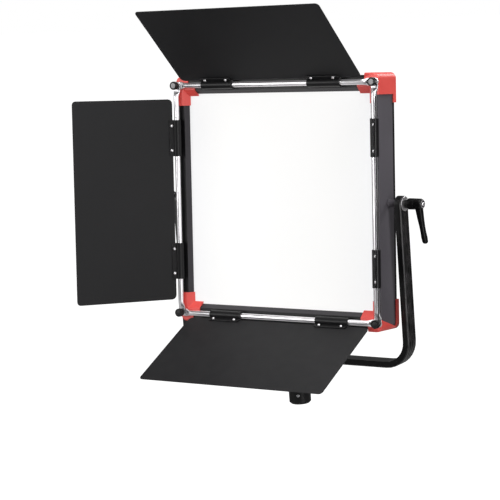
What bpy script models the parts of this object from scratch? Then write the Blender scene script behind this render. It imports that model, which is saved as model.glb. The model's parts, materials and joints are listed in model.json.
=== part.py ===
"""LED panel light with four barn-door leaves on a U-shaped yoke, modelled in metres.

Row frame: origin at the mouth of the stand socket, +Z up, the light faces -Y and +X is right
as seen from the front. The head turns on the yoke's pivots about the X axis.
"""

import math

import bmesh
import bpy
from mathutils import Matrix, Vector

# ---------------------------------------------------------------- driving dimensions
GAP = 0.0003                  # clearance between touching pieces

PIVOT_Z = 0.3030              # pivot axis above the socket mouth
HEAD_TILT = math.radians(-5.46)   # rest tilt of the head, facing slightly up
PANEL_LIFT = 0.0020           # panel centre above the pivot axis

HOUSING_HALF = 0.1720         # half width of the housing
TALLER = 0.0078               # the housing's half height is its half width plus this
HOUSING_FRONT = -0.0260
HOUSING_RADIUS = 0.0065       # outer corners of the housing
RAIL_REAR = 0.0150
COVER_REAR = 0.0225
WALL = 0.0025
OPENING_HALF = 0.1572         # half side of the square lit opening
BEZEL_FLAT = 0.1605           # where the flat of the bezel turns into its slope
BEZEL_T = 0.0018              # thickness of the bezel's sheet
LIP_FRONT = -0.0175
LIP_REAR = -0.0168

GUARD_OUT = 0.1740
GUARD_ARM_END = 0.1400
GUARD_SIDE_END = 0.1520       # where a guard stops on the housing's side
LOWER_SIDE_FRONT = 0.1640     # the lower guards leave more of the side free and end at a slant
LOWER_SIDE_REAR = 0.1790
GUARD_CUT = 0.1702            # outside this the front of a guard stops with its side
GUARD_IN = 0.1550
GUARD_FRONT = -0.0284
GUARD_REAR = 0.0242
GUARD_REAR_LIP = 0.1600

ROD_Y = -0.0331               # plane of the four chromed rods
ROD_HALF = 0.1700             # half side of the square that they make
ROD_R = 0.0040
TAB_W = 0.0056                # half width of a rod's flattened end
TAB_T = 0.0014
UPRIGHT_TAB_Y = 0.0019        # middle of the tabs behind the rod's axis
CROSS_TAB_Y = 0.0036
FLARE_START = 0.1535
FLARE_END = 0.1625
SCREW_R = 0.0019
SCREW_HOLE_R = 0.0022
SCREW_HEAD_R = 0.0062

LEAF_T = 0.0012
LEAF_INNER = 0.0066           # leaf edge from the rod's axis
LEAF_OUT_RADIUS = 0.0055
LEAF_IN_RADIUS = 0.0070
CLIP_R = 0.0062
CLIP_BORE = ROD_R + GAP
CLIP_LENGTH = 0.0540
CLIP_FLANGE = 0.0125
CLIP_FLANGE_T = 0.0015
CLIP_SPACING = 0.0920         # each clip from the middle of its leaf
CLIP_END_ANGLE = math.radians(305)

YOKE_IN = 0.1877              # inner faces of the yoke's arms
YOKE_T = 0.0096
YOKE_W = 0.0226
YOKE_OUT = YOKE_IN + YOKE_T
YOKE_BOTTOM = 0.0655
YOKE_BEND = 0.0300            # inner radius of the two bends
GROOVE_W = 0.0022
GROOVE_D = 0.0012
GROOVE_PITCH = 0.0058
STUD_R = 0.0040
BORE_R = STUD_R + GAP

SOCKET_R = 0.01625
SOCKET_BORE = 0.0082
SOCKET_DEPTH = 0.0500
BOLT_HOLE_R = 0.0053
KNOB_Z = 0.0260               # axis of the socket's locking knob
WASHER_R = 0.0103
HUB_END = 0.2145              # where the tilt hub meets the lever

BOSS_R = 0.0072
BOSS_TIP_R = 0.0064

BOX_HALF = 0.0950             # control box on the rear cover
BOX_LOW = -0.1500
BOX_HIGH = -0.0620
BOX_REAR = 0.0450
BOX_WALL = 0.0020
BOX_RADIUS = 0.0030
WINDOW_X = (-0.0760, -0.0160)
WINDOW_Z = (-0.1160, -0.0860)
KNOB_X = (0.0150, 0.0600)
CONTROL_ROW = -0.1000         # height of the two knobs
BUTTON_X = (-0.0620, -0.0300)
BUTTON_ROW = -0.1320          # height of the buttons and the switch
SWITCH_X = 0.0600
SOCKET_ROW_Y = 0.0345         # middle of the sockets in the box's floor
INLET_X = 0.0550
DATA_X = (-0.0560, -0.0200)

PLATE_HALF = 0.0480           # battery plate
PLATE_LOW = -0.0430
PLATE_HIGH = 0.0890
PLATE_REAR = 0.0345
RECESS_DEPTH = 0.0070
RELEASE_SPOT = (0.0340, -0.0290)

VENT_COLUMNS = (-0.1300, 0.1300)
VENT_ROWS = 8
VENT_PITCH = 0.0180
VENT_LOW = -0.0560
VENT_HALF = 0.0190

ROUND = 24                    # sides of a small round piece

COLOURS = {
    "black_coat": ((0.020, 0.020, 0.021), 0.45, 0.0),
    "grey_coat": ((0.075, 0.071, 0.080), 0.42, 0.2),
    "guard_red": ((0.62, 0.055, 0.045), 0.40, 0.0),
    "diffuser_white": ((0.90, 0.90, 0.89), 0.50, 0.0),
    "chrome": ((0.80, 0.80, 0.82), 0.12, 1.0),
    "steel": ((0.42, 0.42, 0.44), 0.30, 1.0),
    "aluminium": ((0.62, 0.62, 0.64), 0.40, 1.0),
    "black_plastic": ((0.016, 0.016, 0.017), 0.50, 0.0),
    "board_green": ((0.02, 0.13, 0.06), 0.45, 0.0),
    "window_dark": ((0.02, 0.03, 0.04), 0.10, 0.0),
    "brass": ((0.70, 0.50, 0.20), 0.30, 1.0),
}

# side: outward direction, degrees that its leaf opens at rest from straight forward, leaf length from
# the rod's axis, half width, middle of the sheet outside the rod's axis, and its shift along the rod
SIDES = {
    "top": (Vector((0, 0, 1)), 41.3, 0.1570, 0.1550, 0.0034, -0.0025),
    "bottom": (Vector((0, 0, -1)), 29.6, 0.1580, 0.1550, 0.0034, 0.0045),
    "left": (Vector((-1, 0, 0)), 31.5, 0.1646, 0.1500, 0.0014, 0.0),
    "right": (Vector((1, 0, 0)), 30.3, 0.1646, 0.1500, 0.0014, 0.0),
}
CORNERS = {
    "top_left": (-1, 1),
    "top_right": (1, 1),
    "bottom_left": (-1, -1),
    "bottom_right": (1, -1),
}
FORWARD = Vector((0, -1, 0))


# ---------------------------------------------------------------- helpers
def clear_scene():
    """Remove every object of the file that the script runs in."""
    for obj in list(bpy.data.objects):
        bpy.data.objects.remove(obj, do_unlink=True)


def material(name, finish):
    """A plain Principled material in one of the finishes above."""
    colour, rough, metal = COLOURS[finish]
    mat = bpy.data.materials.new(name)
    mat.use_nodes = True
    shader = mat.node_tree.nodes["Principled BSDF"]
    shader.inputs["Base Color"].default_value = (*colour, 1.0)
    shader.inputs["Roughness"].default_value = rough
    shader.inputs["Metallic"].default_value = metal
    return mat


def add_object(name, bm, parent, finish, smooth=False):
    """Turn a bmesh into a named object with its own material."""
    bmesh.ops.recalc_face_normals(bm, faces=bm.faces)
    mesh = bpy.data.meshes.new(name)
    bm.to_mesh(mesh)
    bm.free()
    if smooth:
        mesh.shade_smooth()
        mesh.set_sharp_from_angle(angle=math.radians(35))
    obj = bpy.data.objects.new(name, mesh)
    bpy.context.scene.collection.objects.link(obj)
    obj.parent = parent
    if finish:
        mesh.materials.append(material(name, finish))
    return obj


def add_empty(name, matrix, parent=None):
    """An empty that carries a moving group on its joint's axis."""
    empty = bpy.data.objects.new(name, None)
    bpy.context.scene.collection.objects.link(empty)
    empty.parent = parent
    empty.matrix_local = matrix
    return empty


def basis(x_axis, y_axis, z_axis, origin=(0, 0, 0)):
    """A matrix from three axes and an origin."""
    rows = Matrix((x_axis, y_axis, z_axis)).transposed().to_4x4()
    return Matrix.Translation(origin) @ rows


def loft(bm, rings, closed=False):
    """Join rings of equal length with quads and cap both ends."""
    loops = [[bm.verts.new(p) for p in ring] for ring in rings]
    pairs = list(zip(loops, loops[1:]))
    if closed:
        pairs.append((loops[-1], loops[0]))
    for low, high in pairs:
        count = len(low)
        for i in range(count):
            j = (i + 1) % count
            bm.faces.new((low[i], low[j], high[j], high[i]))
    if not closed:
        bm.faces.new(loops[0][::-1])
        bm.faces.new(loops[-1])
    return bm


def box_mesh(low, high):
    """A bmesh box between two corners."""
    bm = bmesh.new()
    (x0, y0, z0), (x1, y1, z1) = low, high
    corners = [(x0, y0), (x1, y0), (x1, y1), (x0, y1)]
    return loft(bm, [[(x, y, z0) for x, y in corners], [(x, y, z1) for x, y in corners]])


def prism_mesh(outline, start, end, place):
    """Extrude a 2-D outline from start to end; place(a, b, depth) gives each point."""
    bm = bmesh.new()
    return loft(bm, [[place(a, b, depth) for a, b in outline] for depth in (start, end)])


def circle(radius, count=ROUND, centre=(0, 0)):
    """Points of a circle in two dimensions."""
    step = 2 * math.pi / count
    return [
        (centre[0] + radius * math.cos(i * step), centre[1] + radius * math.sin(i * step))
        for i in range(count)
    ]


def arc(centre, radius, start, end, count):
    """Points of an arc, both ends included, angles in radians."""
    step = (end - start) / (count - 1)
    return [
        (centre[0] + radius * math.cos(start + i * step),
         centre[1] + radius * math.sin(start + i * step))
        for i in range(count)
    ]


def rounded_rectangle(x0, x1, y0, y1, radii, count=5):
    """Outline of a rectangle with one radius for each corner, from low left, counterclockwise."""
    centres = [(x0, y0, 1, 1, math.pi), (x1, y0, -1, 1, 1.5 * math.pi),
               (x1, y1, -1, -1, 0.0), (x0, y1, 1, -1, 0.5 * math.pi)]
    points = []
    for (x, y, sx, sy, start), radius in zip(centres, radii):
        centre = (x + sx * radius, y + sy * radius)
        points += arc(centre, radius, start, start + math.pi / 2, count)
    return points


def along_x(a, b, depth):
    """Place an outline in the YZ plane and extrude it along X."""
    return (depth, a, b)


def along_y(a, b, depth):
    """Place an outline in the XZ plane and extrude it along Y."""
    return (a, depth, b)


def along_z(a, b, depth):
    """Place an outline in the XY plane and extrude it along Z."""
    return (a, b, depth)


def turned_mesh(profile, axis, count=ROUND, bore=None):
    """Turn a profile of (distance along axis, radius) about an axis; bore leaves a round hole."""
    bm = bmesh.new()
    place = {"X": lambda a, b, d: (d, a, b), "Y": lambda a, b, d: (b, d, a),
             "Z": lambda a, b, d: (a, b, d)}[axis]
    rings = [[place(a, b, d) for a, b in circle(r, count)] for d, r in profile]
    if bore:
        ends = [(profile[-1][0], bore), (profile[0][0], bore)]
        rings += [[place(a, b, d) for a, b in circle(r, count)] for d, r in ends]
        return loft(bm, rings, closed=True)
    return loft(bm, rings)


def boolean(obj, bm, kind="DIFFERENCE"):
    """Cut or join a bmesh from or to an object with an exact Boolean, applied at once."""
    tool = add_object(obj.name + "_tool", bm, obj.parent, None)
    tool.hide_render = True
    tool.display_type = "WIRE"
    modifier = obj.modifiers.new("cut", "BOOLEAN")
    modifier.operation = kind
    modifier.solver = "EXACT"
    modifier.object = tool
    bpy.context.view_layer.update()
    graph = bpy.context.evaluated_depsgraph_get()
    mesh = bpy.data.meshes.new_from_object(obj.evaluated_get(graph))
    obj.modifiers.clear()
    old = obj.data
    obj.data = mesh
    bpy.data.meshes.remove(old)
    mesh.name = obj.name
    bpy.data.objects.remove(tool, do_unlink=True)
    return obj


def cylinder(axis, start, end, radius, centre=(0, 0), count=ROUND):
    """A straight round bmesh along an axis; centre is in the plane across it."""
    place = {"X": along_x, "Y": along_y, "Z": along_z}[axis]
    return prism_mesh(circle(radius, count, centre), start, end, place)


# ---------------------------------------------------------------- housing
def upward(r):
    """Height that matches a distance r to the side: the top and bottom rails are the wider ones."""
    return OPENING_HALF + (r - OPENING_HALF) * (1 + TALLER / (HOUSING_HALF - OPENING_HALF))


def rail_profile():
    """Section of a side rail: outer wall, flat bezel and sloped lip, as (outward, depth)."""
    edge = 0.0008
    inner_wall = HOUSING_HALF - WALL
    return [
        (HOUSING_HALF, HOUSING_FRONT + edge),
        (HOUSING_HALF - edge, HOUSING_FRONT),
        (BEZEL_FLAT, HOUSING_FRONT),
        (OPENING_HALF, LIP_FRONT),
        (OPENING_HALF, LIP_REAR),
        (OPENING_HALF + BEZEL_T, LIP_REAR),
        (BEZEL_FLAT + 0.0010, HOUSING_FRONT + BEZEL_T),
        (inner_wall, HOUSING_FRONT + BEZEL_T),
        (inner_wall, RAIL_REAR),
        (HOUSING_HALF, RAIL_REAR),
    ]


def make_rails(panel):
    """Four mitred rails of the housing frame, rounded together at the outer corners."""
    finishes = {"top": "black_coat", "bottom": "black_coat", "left": "grey_coat", "right": "grey_coat"}
    high = upward(HOUSING_HALF)
    outline = rounded_rectangle(-HOUSING_HALF, HOUSING_HALF, -high, high, [HOUSING_RADIUS] * 4, 6)
    for side, finish in finishes.items():
        out = SIDES[side][0]
        run = Vector((abs(out.z), 0, abs(out.x)))
        rings = []
        for end in (-1, 1):
            ring = []
            for r, y in rail_profile():
                across, along = (upward(r), r) if out.z else (r, upward(r))
                ring.append(out * across + Vector((0, y, 0)) + run * end * (along - GAP * 0.75))
            rings.append(ring)
        rail = add_object("rail_" + side, loft(bmesh.new(), rings), panel, finish)
        boolean(rail, prism_mesh(outline, HOUSING_FRONT - 0.002, RAIL_REAR + 0.002, along_y), "INTERSECT")


def guard_profile():
    """Section of a corner guard: a C around the bezel, side and rear edge, as (outward, depth)."""
    round_edge = 0.0014
    inside = HOUSING_HALF + GAP
    return [
        (GUARD_OUT, GUARD_FRONT + round_edge),
        (GUARD_OUT - round_edge, GUARD_FRONT),
        (BEZEL_FLAT + 0.0008, GUARD_FRONT),
        (GUARD_IN, LIP_FRONT - 0.0014),
        (GUARD_IN, LIP_REAR - GAP),
        (OPENING_HALF - GAP, LIP_REAR - GAP),
        (OPENING_HALF - GAP, LIP_FRONT - 0.0002),
        (BEZEL_FLAT - 0.0002, HOUSING_FRONT - GAP),
        (inside, HOUSING_FRONT - GAP),
        (inside, COVER_REAR + GAP),
        (GUARD_REAR_LIP, COVER_REAR + GAP),
        (GUARD_REAR_LIP, GUARD_REAR),
        (GUARD_OUT - round_edge, GUARD_REAR),
        (GUARD_OUT, GUARD_REAR - round_edge),
    ]


def guard_path(r, sx, sz):
    """Way of one profile point round the corner: along one arm, a fillet, along the other."""
    fillet = max(r - (HOUSING_HALF - HOUSING_RADIUS), 0.0006)
    centre = (r - fillet, upward(r) - fillet)
    points = [(r, GUARD_ARM_END)]
    points += arc(centre, fillet, 0.0, math.pi / 2, 6)
    points.append((GUARD_ARM_END, upward(r)))
    return [(sx * a, sz * b) for a, b in points]


def guard_window(front_end, rear_end):
    """Outline, as (depth, distance along the arm), that shortens a guard over the housing's side."""
    front = GUARD_FRONT - 0.002
    rear = RAIL_REAR + GAP
    low = GUARD_ARM_END - 0.01
    return [(front, low), (rear, low), (rear, rear_end), (front, front_end)]


def make_guards(panel):
    """Four plastic corner guards that wrap the housing."""
    for name, (sx, sz) in CORNERS.items():
        paths = [[(x, y, z) for x, z in guard_path(r, sx, sz)] for r, y in guard_profile()]
        rings = [list(ring) for ring in zip(*paths)]
        guard = add_object("corner_guard_" + name, loft(bmesh.new(), rings), panel, "guard_red")
        reach = sorted((sx * GUARD_CUT, sx * (GUARD_OUT + 0.002)))
        ends = (GUARD_SIDE_END, GUARD_SIDE_END) if sz > 0 else (LOWER_SIDE_FRONT, LOWER_SIDE_REAR)
        upright = [(y, sz * b) for y, b in guard_window(*ends)]
        boolean(guard, prism_mesh(upright, reach[0], reach[1], along_x))
        reach = sorted((sz * GUARD_CUT, sz * (upward(GUARD_OUT) + 0.002)))
        level = [(sx * b, y) for y, b in guard_window(GUARD_SIDE_END, GUARD_SIDE_END)]
        boolean(guard, prism_mesh(level, reach[0], reach[1], along_z))
        centre = (sx * ROD_HALF, sz * ROD_HALF)
        boolean(guard, cylinder("Y", GUARD_FRONT - 0.002, HOUSING_FRONT + 0.002, SCREW_HOLE_R, centre, 16))


def make_inner_parts(panel):
    """Diffuser sheet, lamp board, heat sink and driver board inside the housing."""
    half = HOUSING_HALF - WALL - GAP
    high = upward(half)
    y0 = LIP_REAR + GAP
    add_object("diffuser", box_mesh((-half, y0, -high), (half, y0 + 0.0020, high)), panel, "diffuser_white")
    board = half - 0.002
    high -= 0.002
    add_object("led_board", box_mesh((-board, 0.0, -high), (board, 0.0016, high)), panel, "board_green")
    base, root, tip = 0.0019, 0.0039, 0.0100
    fin_half, pitch, fins = 0.0010, 0.0340, 9
    outline = [(-board, base), (board, base), (board, root)]
    for i in reversed(range(fins)):
        x = (i - (fins - 1) / 2) * pitch
        outline += [(x + fin_half, root), (x + fin_half, tip), (x - fin_half, tip), (x - fin_half, root)]
    outline.append((-board, root))
    add_object("heat_sink", prism_mesh(outline, -high, high, along_z), panel, "aluminium")
    y0 = tip + GAP
    driver = box_mesh((-0.090, y0, 0.020), (0.090, y0 + 0.0016, 0.130))
    obj = add_object("driver_board", driver, panel, "board_green")
    for x, z, size in ((-0.055, 0.085, 0.016), (0.0, 0.070, 0.021), (0.055, 0.095, 0.013)):
        block = box_mesh((x - size, y0 + 0.0010, z - size), (x + size, y0 + 0.0085, z + size))
        boolean(obj, block, "UNION")


def make_rear_cover(panel):
    """Shallow pan that closes the back, with two groups of vent slots."""
    chamfer = 0.0025
    front = RAIL_REAR + GAP
    rings = []
    for y, less in ((front, 0.0), (COVER_REAR - chamfer, 0.0), (COVER_REAR, chamfer)):
        size = HOUSING_HALF - less
        radii = [HOUSING_RADIUS - less] * 4
        outline = rounded_rectangle(-size, size, -size - TALLER, size + TALLER, radii, 6)
        rings.append([(x, y, z) for x, z in outline])
    cover = add_object("rear_cover", loft(bmesh.new(), rings), panel, "black_coat")
    inner = HOUSING_HALF - WALL
    high = inner + TALLER
    boolean(cover, box_mesh((-inner, front - 0.01, -high), (inner, COVER_REAR - 0.0020, high)))
    for column in VENT_COLUMNS:
        for row in range(VENT_ROWS):
            z = VENT_LOW + row * VENT_PITCH
            slot = rounded_rectangle(column - VENT_HALF, column + VENT_HALF, z - 0.0020, z + 0.0020,
                                     [0.0019] * 4, 3)
            boolean(cover, prism_mesh(slot, COVER_REAR - 0.005, COVER_REAR + 0.005, along_y))


def make_bosses(panel):
    """Round pivot bosses screwed to both side rails, on the pivot axis."""
    for side, sign in (("left", -1), ("right", 1)):
        start, end = HOUSING_HALF + GAP, YOKE_IN - GAP
        profile = [(start, BOSS_R), (start + 0.0040, BOSS_R), (start + 0.0050, BOSS_TIP_R), (end, BOSS_TIP_R)]
        profile = [(sign * x, r) for x, r in profile]
        boss = turned_mesh(profile, "X")
        bmesh.ops.translate(boss, verts=boss.verts, vec=(0, 0, -PANEL_LIFT))
        obj = add_object("pivot_boss_" + side, boss, panel, "grey_coat", True)
        span = sorted((sign * (HOUSING_HALF + 0.0014), sign * (end + 0.005)))
        boolean(obj, cylinder("X", span[0], span[1], BORE_R, (0, -PANEL_LIFT)))


# ---------------------------------------------------------------- rear controls
def make_control_box(panel):
    """Control box with its window, boards and connectors."""
    y0 = COVER_REAR + GAP
    outline = rounded_rectangle(-BOX_HALF, BOX_HALF, BOX_LOW, BOX_HIGH, [BOX_RADIUS] * 4, 4)
    inset = rounded_rectangle(-BOX_HALF + 0.002, BOX_HALF - 0.002, BOX_LOW + 0.002, BOX_HIGH - 0.002,
                              [BOX_RADIUS / 2] * 4, 4)
    rings = [[(x, y0, z) for x, z in outline], [(x, BOX_REAR - 0.002, z) for x, z in outline],
             [(x, BOX_REAR, z) for x, z in inset]]
    box = add_object("control_housing", loft(bmesh.new(), rings), panel, "black_plastic")
    inner = BOX_HALF - BOX_WALL
    hollow = box_mesh((-inner, y0 - 0.01, BOX_LOW + BOX_WALL),
                      (inner, BOX_REAR - BOX_WALL, BOX_HIGH - BOX_WALL))
    boolean(box, hollow)
    face = (BOX_REAR - 0.006, BOX_REAR + 0.002)
    boolean(box, box_mesh((WINDOW_X[0], face[0], WINDOW_Z[0]), (WINDOW_X[1], face[1], WINDOW_Z[1])))
    for x in KNOB_X:
        boolean(box, cylinder("Y", *face, 0.0033, (x, CONTROL_ROW), 16))
    for x in BUTTON_X:
        boolean(box, cylinder("Y", *face, 0.0048, (x, BUTTON_ROW), 16))
    boolean(box, box_mesh((SWITCH_X - 0.0068, face[0], BUTTON_ROW - 0.0098),
                          (SWITCH_X + 0.0068, face[1], BUTTON_ROW + 0.0098)))
    floor = (BOX_LOW - 0.002, BOX_LOW + 0.004)
    boolean(box, cylinder("Z", *floor, 0.0082, (INLET_X, SOCKET_ROW_Y), 20))
    for x in DATA_X:
        boolean(box, box_mesh((x - 0.0078, SOCKET_ROW_Y - 0.0065, floor[0]),
                              (x + 0.0078, SOCKET_ROW_Y + 0.0065, floor[1])))
    window = box_mesh((WINDOW_X[0] + GAP, BOX_REAR - 0.0020, WINDOW_Z[0] + GAP),
                      (WINDOW_X[1] - GAP, BOX_REAR - 0.0004, WINDOW_Z[1] - GAP))
    add_object("display_window", window, panel, "window_dark")
    margin = 0.0100
    board = box_mesh((margin - BOX_HALF, 0.0320, BOX_LOW + margin),
                     (BOX_HALF - margin, 0.0336, BOX_HIGH - margin))
    add_object("control_board", board, panel, "board_green")


def make_connectors(panel):
    """Power inlet and two data sockets in the floor of the control box."""
    low = BOX_LOW - 0.0016
    profile = [(low, 0.0098), (BOX_LOW - GAP, 0.0098), (BOX_LOW - GAP, 0.0079), (BOX_LOW + 0.0075, 0.0079)]
    inlet = turned_mesh(profile, "Z", 20)
    bmesh.ops.translate(inlet, verts=inlet.verts, vec=(INLET_X, SOCKET_ROW_Y, 0))
    obj = add_object("power_inlet", inlet, panel, "black_plastic")
    boolean(obj, cylinder("Z", low - 0.001, low + 0.0038, 0.0062, (INLET_X, SOCKET_ROW_Y), 16))
    for name, x in zip(("data_socket_in", "data_socket_out"), DATA_X):
        socket = box_mesh((x - 0.0075, SOCKET_ROW_Y - 0.0062, low + 0.0004),
                          (x + 0.0075, SOCKET_ROW_Y + 0.0062, BOX_LOW + 0.0075))
        obj = add_object(name, socket, panel, "steel")
        boolean(obj, box_mesh((x - 0.0060, SOCKET_ROW_Y - 0.0045, low - 0.001),
                              (x + 0.0060, SOCKET_ROW_Y + 0.0045, low + 0.0040)))


def make_controls(panel):
    """Two rotary knobs, two push buttons and a rocker switch on the box's face."""
    face = BOX_REAR + GAP
    for name, x in zip(("brightness_knob", "colour_knob"), KNOB_X):
        empty = add_empty(name + "_axis", Matrix.Translation((x, 0, CONTROL_ROW)), panel)
        profile = [(BOX_REAR - 0.0080, 0.0030), (face, 0.0030), (face, 0.0110), (face + 0.0110, 0.0098),
                   (face + 0.0122, 0.0086)]
        add_object(name, turned_mesh(profile, "Y"), empty, "black_plastic", True)
    for name, x in zip(("menu_button", "mode_button"), BUTTON_X):
        empty = add_empty(name + "_axis", Matrix.Translation((x, 0, BUTTON_ROW)), panel)
        inside = BOX_REAR - BOX_WALL - GAP
        profile = [(inside - 0.0012, 0.0058), (inside, 0.0058), (inside, 0.0045), (BOX_REAR + 0.0014, 0.0045),
                   (BOX_REAR + 0.0018, 0.0040)]
        add_object(name, turned_mesh(profile, "Y", 20), empty, "black_plastic", True)
    place = Matrix.Translation((SWITCH_X, BOX_REAR - 0.0010, BUTTON_ROW))
    empty = add_empty("power_switch_axis", place @ Matrix.Rotation(math.radians(7), 4, "X"), panel)
    outline = [(-0.0040, -0.0060), (0.0022, -0.0088), (0.0012, 0.0), (0.0022, 0.0088), (-0.0040, 0.0060)]
    add_object("power_switch", prism_mesh(outline, -0.0062, 0.0062, along_x), empty, "black_plastic")


def make_battery_plate(panel):
    """Battery plate with a wedge-shaped recess, contact block and sprung release button."""
    y0 = COVER_REAR + GAP
    outline = rounded_rectangle(-PLATE_HALF, PLATE_HALF, PLATE_LOW, PLATE_HIGH, [0.0050] * 4, 4)
    plate = add_object("battery_plate", prism_mesh(outline, y0, PLATE_REAR, along_y), panel, "black_plastic")
    mouth = PLATE_HIGH + 0.002
    wedge = [(-0.0220, -0.0150), (0.0220, -0.0150), (0.0300, mouth), (-0.0300, mouth)]
    boolean(plate, prism_mesh(wedge, PLATE_REAR - RECESS_DEPTH, PLATE_REAR + 0.002, along_y))
    boolean(plate, cylinder("Y", y0 + 0.0020, PLATE_REAR + 0.002, 0.0068, RELEASE_SPOT, 20))
    floor = PLATE_REAR - RECESS_DEPTH + GAP
    block = box_mesh((-0.0180, floor, -0.0140), (0.0180, floor + 0.0040, -0.0020))
    add_object("battery_contacts", block, panel, "brass")
    x, z = RELEASE_SPOT
    empty = add_empty("battery_release_axis", Matrix.Translation((x, 0, z)), panel)
    profile = [(y0 + 0.0050, 0.0065), (PLATE_REAR + 0.0020, 0.0065), (PLATE_REAR + 0.0028, 0.0056)]
    add_object("battery_release", turned_mesh(profile, "Y", 20), empty, "guard_red", True)


# ---------------------------------------------------------------- barn doors
def rod_ring(s, half_w, y_mid, half_t, count=16):
    """One ring of a rod: from round to flat with the same number of points."""
    points = []
    flat = 1.0 - (half_t - TAB_T / 2) / (ROD_R - TAB_T / 2)
    for i in range(count):
        angle = 2 * math.pi * (i + 0.5) / count
        c, si = math.cos(angle), math.sin(angle)
        power = 1.0 - 0.55 * flat
        x = half_w * math.copysign(abs(c) ** power, c)
        y = half_t * math.copysign(abs(si) ** power, si)
        points.append((s, y_mid + y, x))
    return points


def make_rods(panel):
    """Four chromed rods with flattened ends that overlap at the corners."""
    for side in SIDES:
        out = SIDES[side][0]
        run = Vector((abs(out.z), 0, abs(out.x)))
        tab_y = UPRIGHT_TAB_Y if out.x else CROSS_TAB_Y
        stations = [(FLARE_START, ROD_R, 0.0, ROD_R)]
        for step in (0.25, 0.5, 0.75, 1.0):
            blend = step * step * (3 - 2 * step)
            s = FLARE_START + (FLARE_END - FLARE_START) * step
            stations.append((s, ROD_R + (TAB_W - ROD_R) * blend, tab_y * blend,
                             ROD_R + (TAB_T / 2 - ROD_R) * blend))
        stations.append((ROD_HALF, TAB_W, tab_y, TAB_T / 2))
        for angle in (30, 52, 70, 82):
            a = math.radians(angle)
            stations.append((ROD_HALF + TAB_W * math.sin(a), TAB_W * math.cos(a), tab_y, TAB_T / 2))
        half = [rod_ring(*station) for station in stations]
        mirrored = [[(-s, y, x) for s, y, x in ring] for ring in reversed(half)]
        centre = out * ROD_HALF + Vector((0, ROD_Y, 0))
        rings = []
        for ring in mirrored + half:
            rings.append([centre + run * s + Vector((0, y, 0)) + out * x for s, y, x in ring])
        rod = add_object("rod_" + side, loft(bmesh.new(), rings), panel, "chrome", True)
        for end in (-1, 1):
            spot = centre + run * end * ROD_HALF
            depth = (ROD_Y + tab_y - 0.003, ROD_Y + tab_y + 0.003)
            boolean(rod, cylinder("Y", *depth, SCREW_HOLE_R, (spot.x, spot.z), 16))


def make_thumbscrews(panel):
    """Knurled thumbscrews that clamp the rod ends at the four corners."""
    for name, (sx, sz) in CORNERS.items():
        origin = (sx * ROD_HALF, ROD_Y, sz * ROD_HALF)
        empty = add_empty("thumbscrew_%s_axis" % name, Matrix.Translation(origin), panel)
        tip = HOUSING_FRONT - GAP - ROD_Y - GAP
        seat = UPRIGHT_TAB_Y - TAB_T / 2 - GAP
        head = SCREW_HEAD_R
        profile = [(tip, SCREW_R), (seat, SCREW_R), (seat, 0.0046), (-0.0014, 0.0046),
                   (-0.0014, head - 0.0005), (-0.0022, head), (-0.0078, head), (-0.0086, head - 0.0007)]
        add_object("thumbscrew_" + name, turned_mesh(profile, "Y"), empty, "black_plastic", True)


def leaf_frame(side):
    """Matrix of a leaf on its rod: X along the rod, Y away from it, Z to the leaf's outer side."""
    out, angle = SIDES[side][:2]
    a = math.radians(angle)
    away = FORWARD * math.cos(a) + out * math.sin(a)
    outer = out * math.cos(a) - FORWARD * math.sin(a)
    return basis(away.cross(outer), away, outer, out * ROD_HALF + Vector((0, ROD_Y, 0)))


def clip_outline(flange_low, flange_high):
    """Section of a hinge clip: a C round the rod with a flange on the leaf's inner face."""
    start_in = math.asin(flange_low / CLIP_BORE)
    start_out = math.asin(flange_high / CLIP_R)
    outline = [(CLIP_FLANGE, flange_high), (CLIP_FLANGE, flange_low)]
    outline += arc((0, 0), CLIP_BORE, start_in, CLIP_END_ANGLE, 13)
    outline += arc((0, 0), CLIP_R, CLIP_END_ANGLE, start_out, 15)
    return outline


def make_leaves(panel):
    """Four barn-door leaves, each with two clips that turn on its rod."""
    for side, (_, _, length, half, offset, shift) in SIDES.items():
        hinge = add_empty("leaf_%s_axis" % side, leaf_frame(side), panel)
        direction = leaf_frame(side).col[0]
        middle = shift * (1 if direction[0] + direction[2] > 0 else -1)
        radii = [LEAF_IN_RADIUS, LEAF_IN_RADIUS, LEAF_OUT_RADIUS, LEAF_OUT_RADIUS]
        outline = rounded_rectangle(middle - half, middle + half, LEAF_INNER, length, radii)
        sheet = prism_mesh(outline, offset - LEAF_T / 2, offset + LEAF_T / 2, along_z)
        add_object("leaf_" + side, sheet, hinge, "black_coat")
        high = offset - LEAF_T / 2 - GAP
        for label, sign in (("a", -1), ("b", 1)):
            spot = middle + sign * CLIP_SPACING
            section = clip_outline(high - CLIP_FLANGE_T, high)
            clip = prism_mesh(section, spot - CLIP_LENGTH / 2, spot + CLIP_LENGTH / 2, along_x)
            add_object("clip_%s_%s" % (side, label), clip, hinge, "black_coat")


# ---------------------------------------------------------------- yoke and stand socket
def yoke_section():
    """Section of the yoke's bar as (depth, outward): flat inside, grooved outside."""
    half = YOKE_W / 2
    edge = 0.0012
    section = [(-half, 0.0), (half, 0.0), (half, YOKE_T - edge), (half - edge, YOKE_T)]
    for centre in (GROOVE_PITCH, 0.0, -GROOVE_PITCH):
        section += [(centre + GROOVE_W / 2, YOKE_T), (centre + GROOVE_W / 2, YOKE_T - GROOVE_D),
                    (centre - GROOVE_W / 2, YOKE_T - GROOVE_D), (centre - GROOVE_W / 2, YOKE_T)]
    section += [(-half + edge, YOKE_T), (-half, YOKE_T - edge)]
    return section


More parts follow.
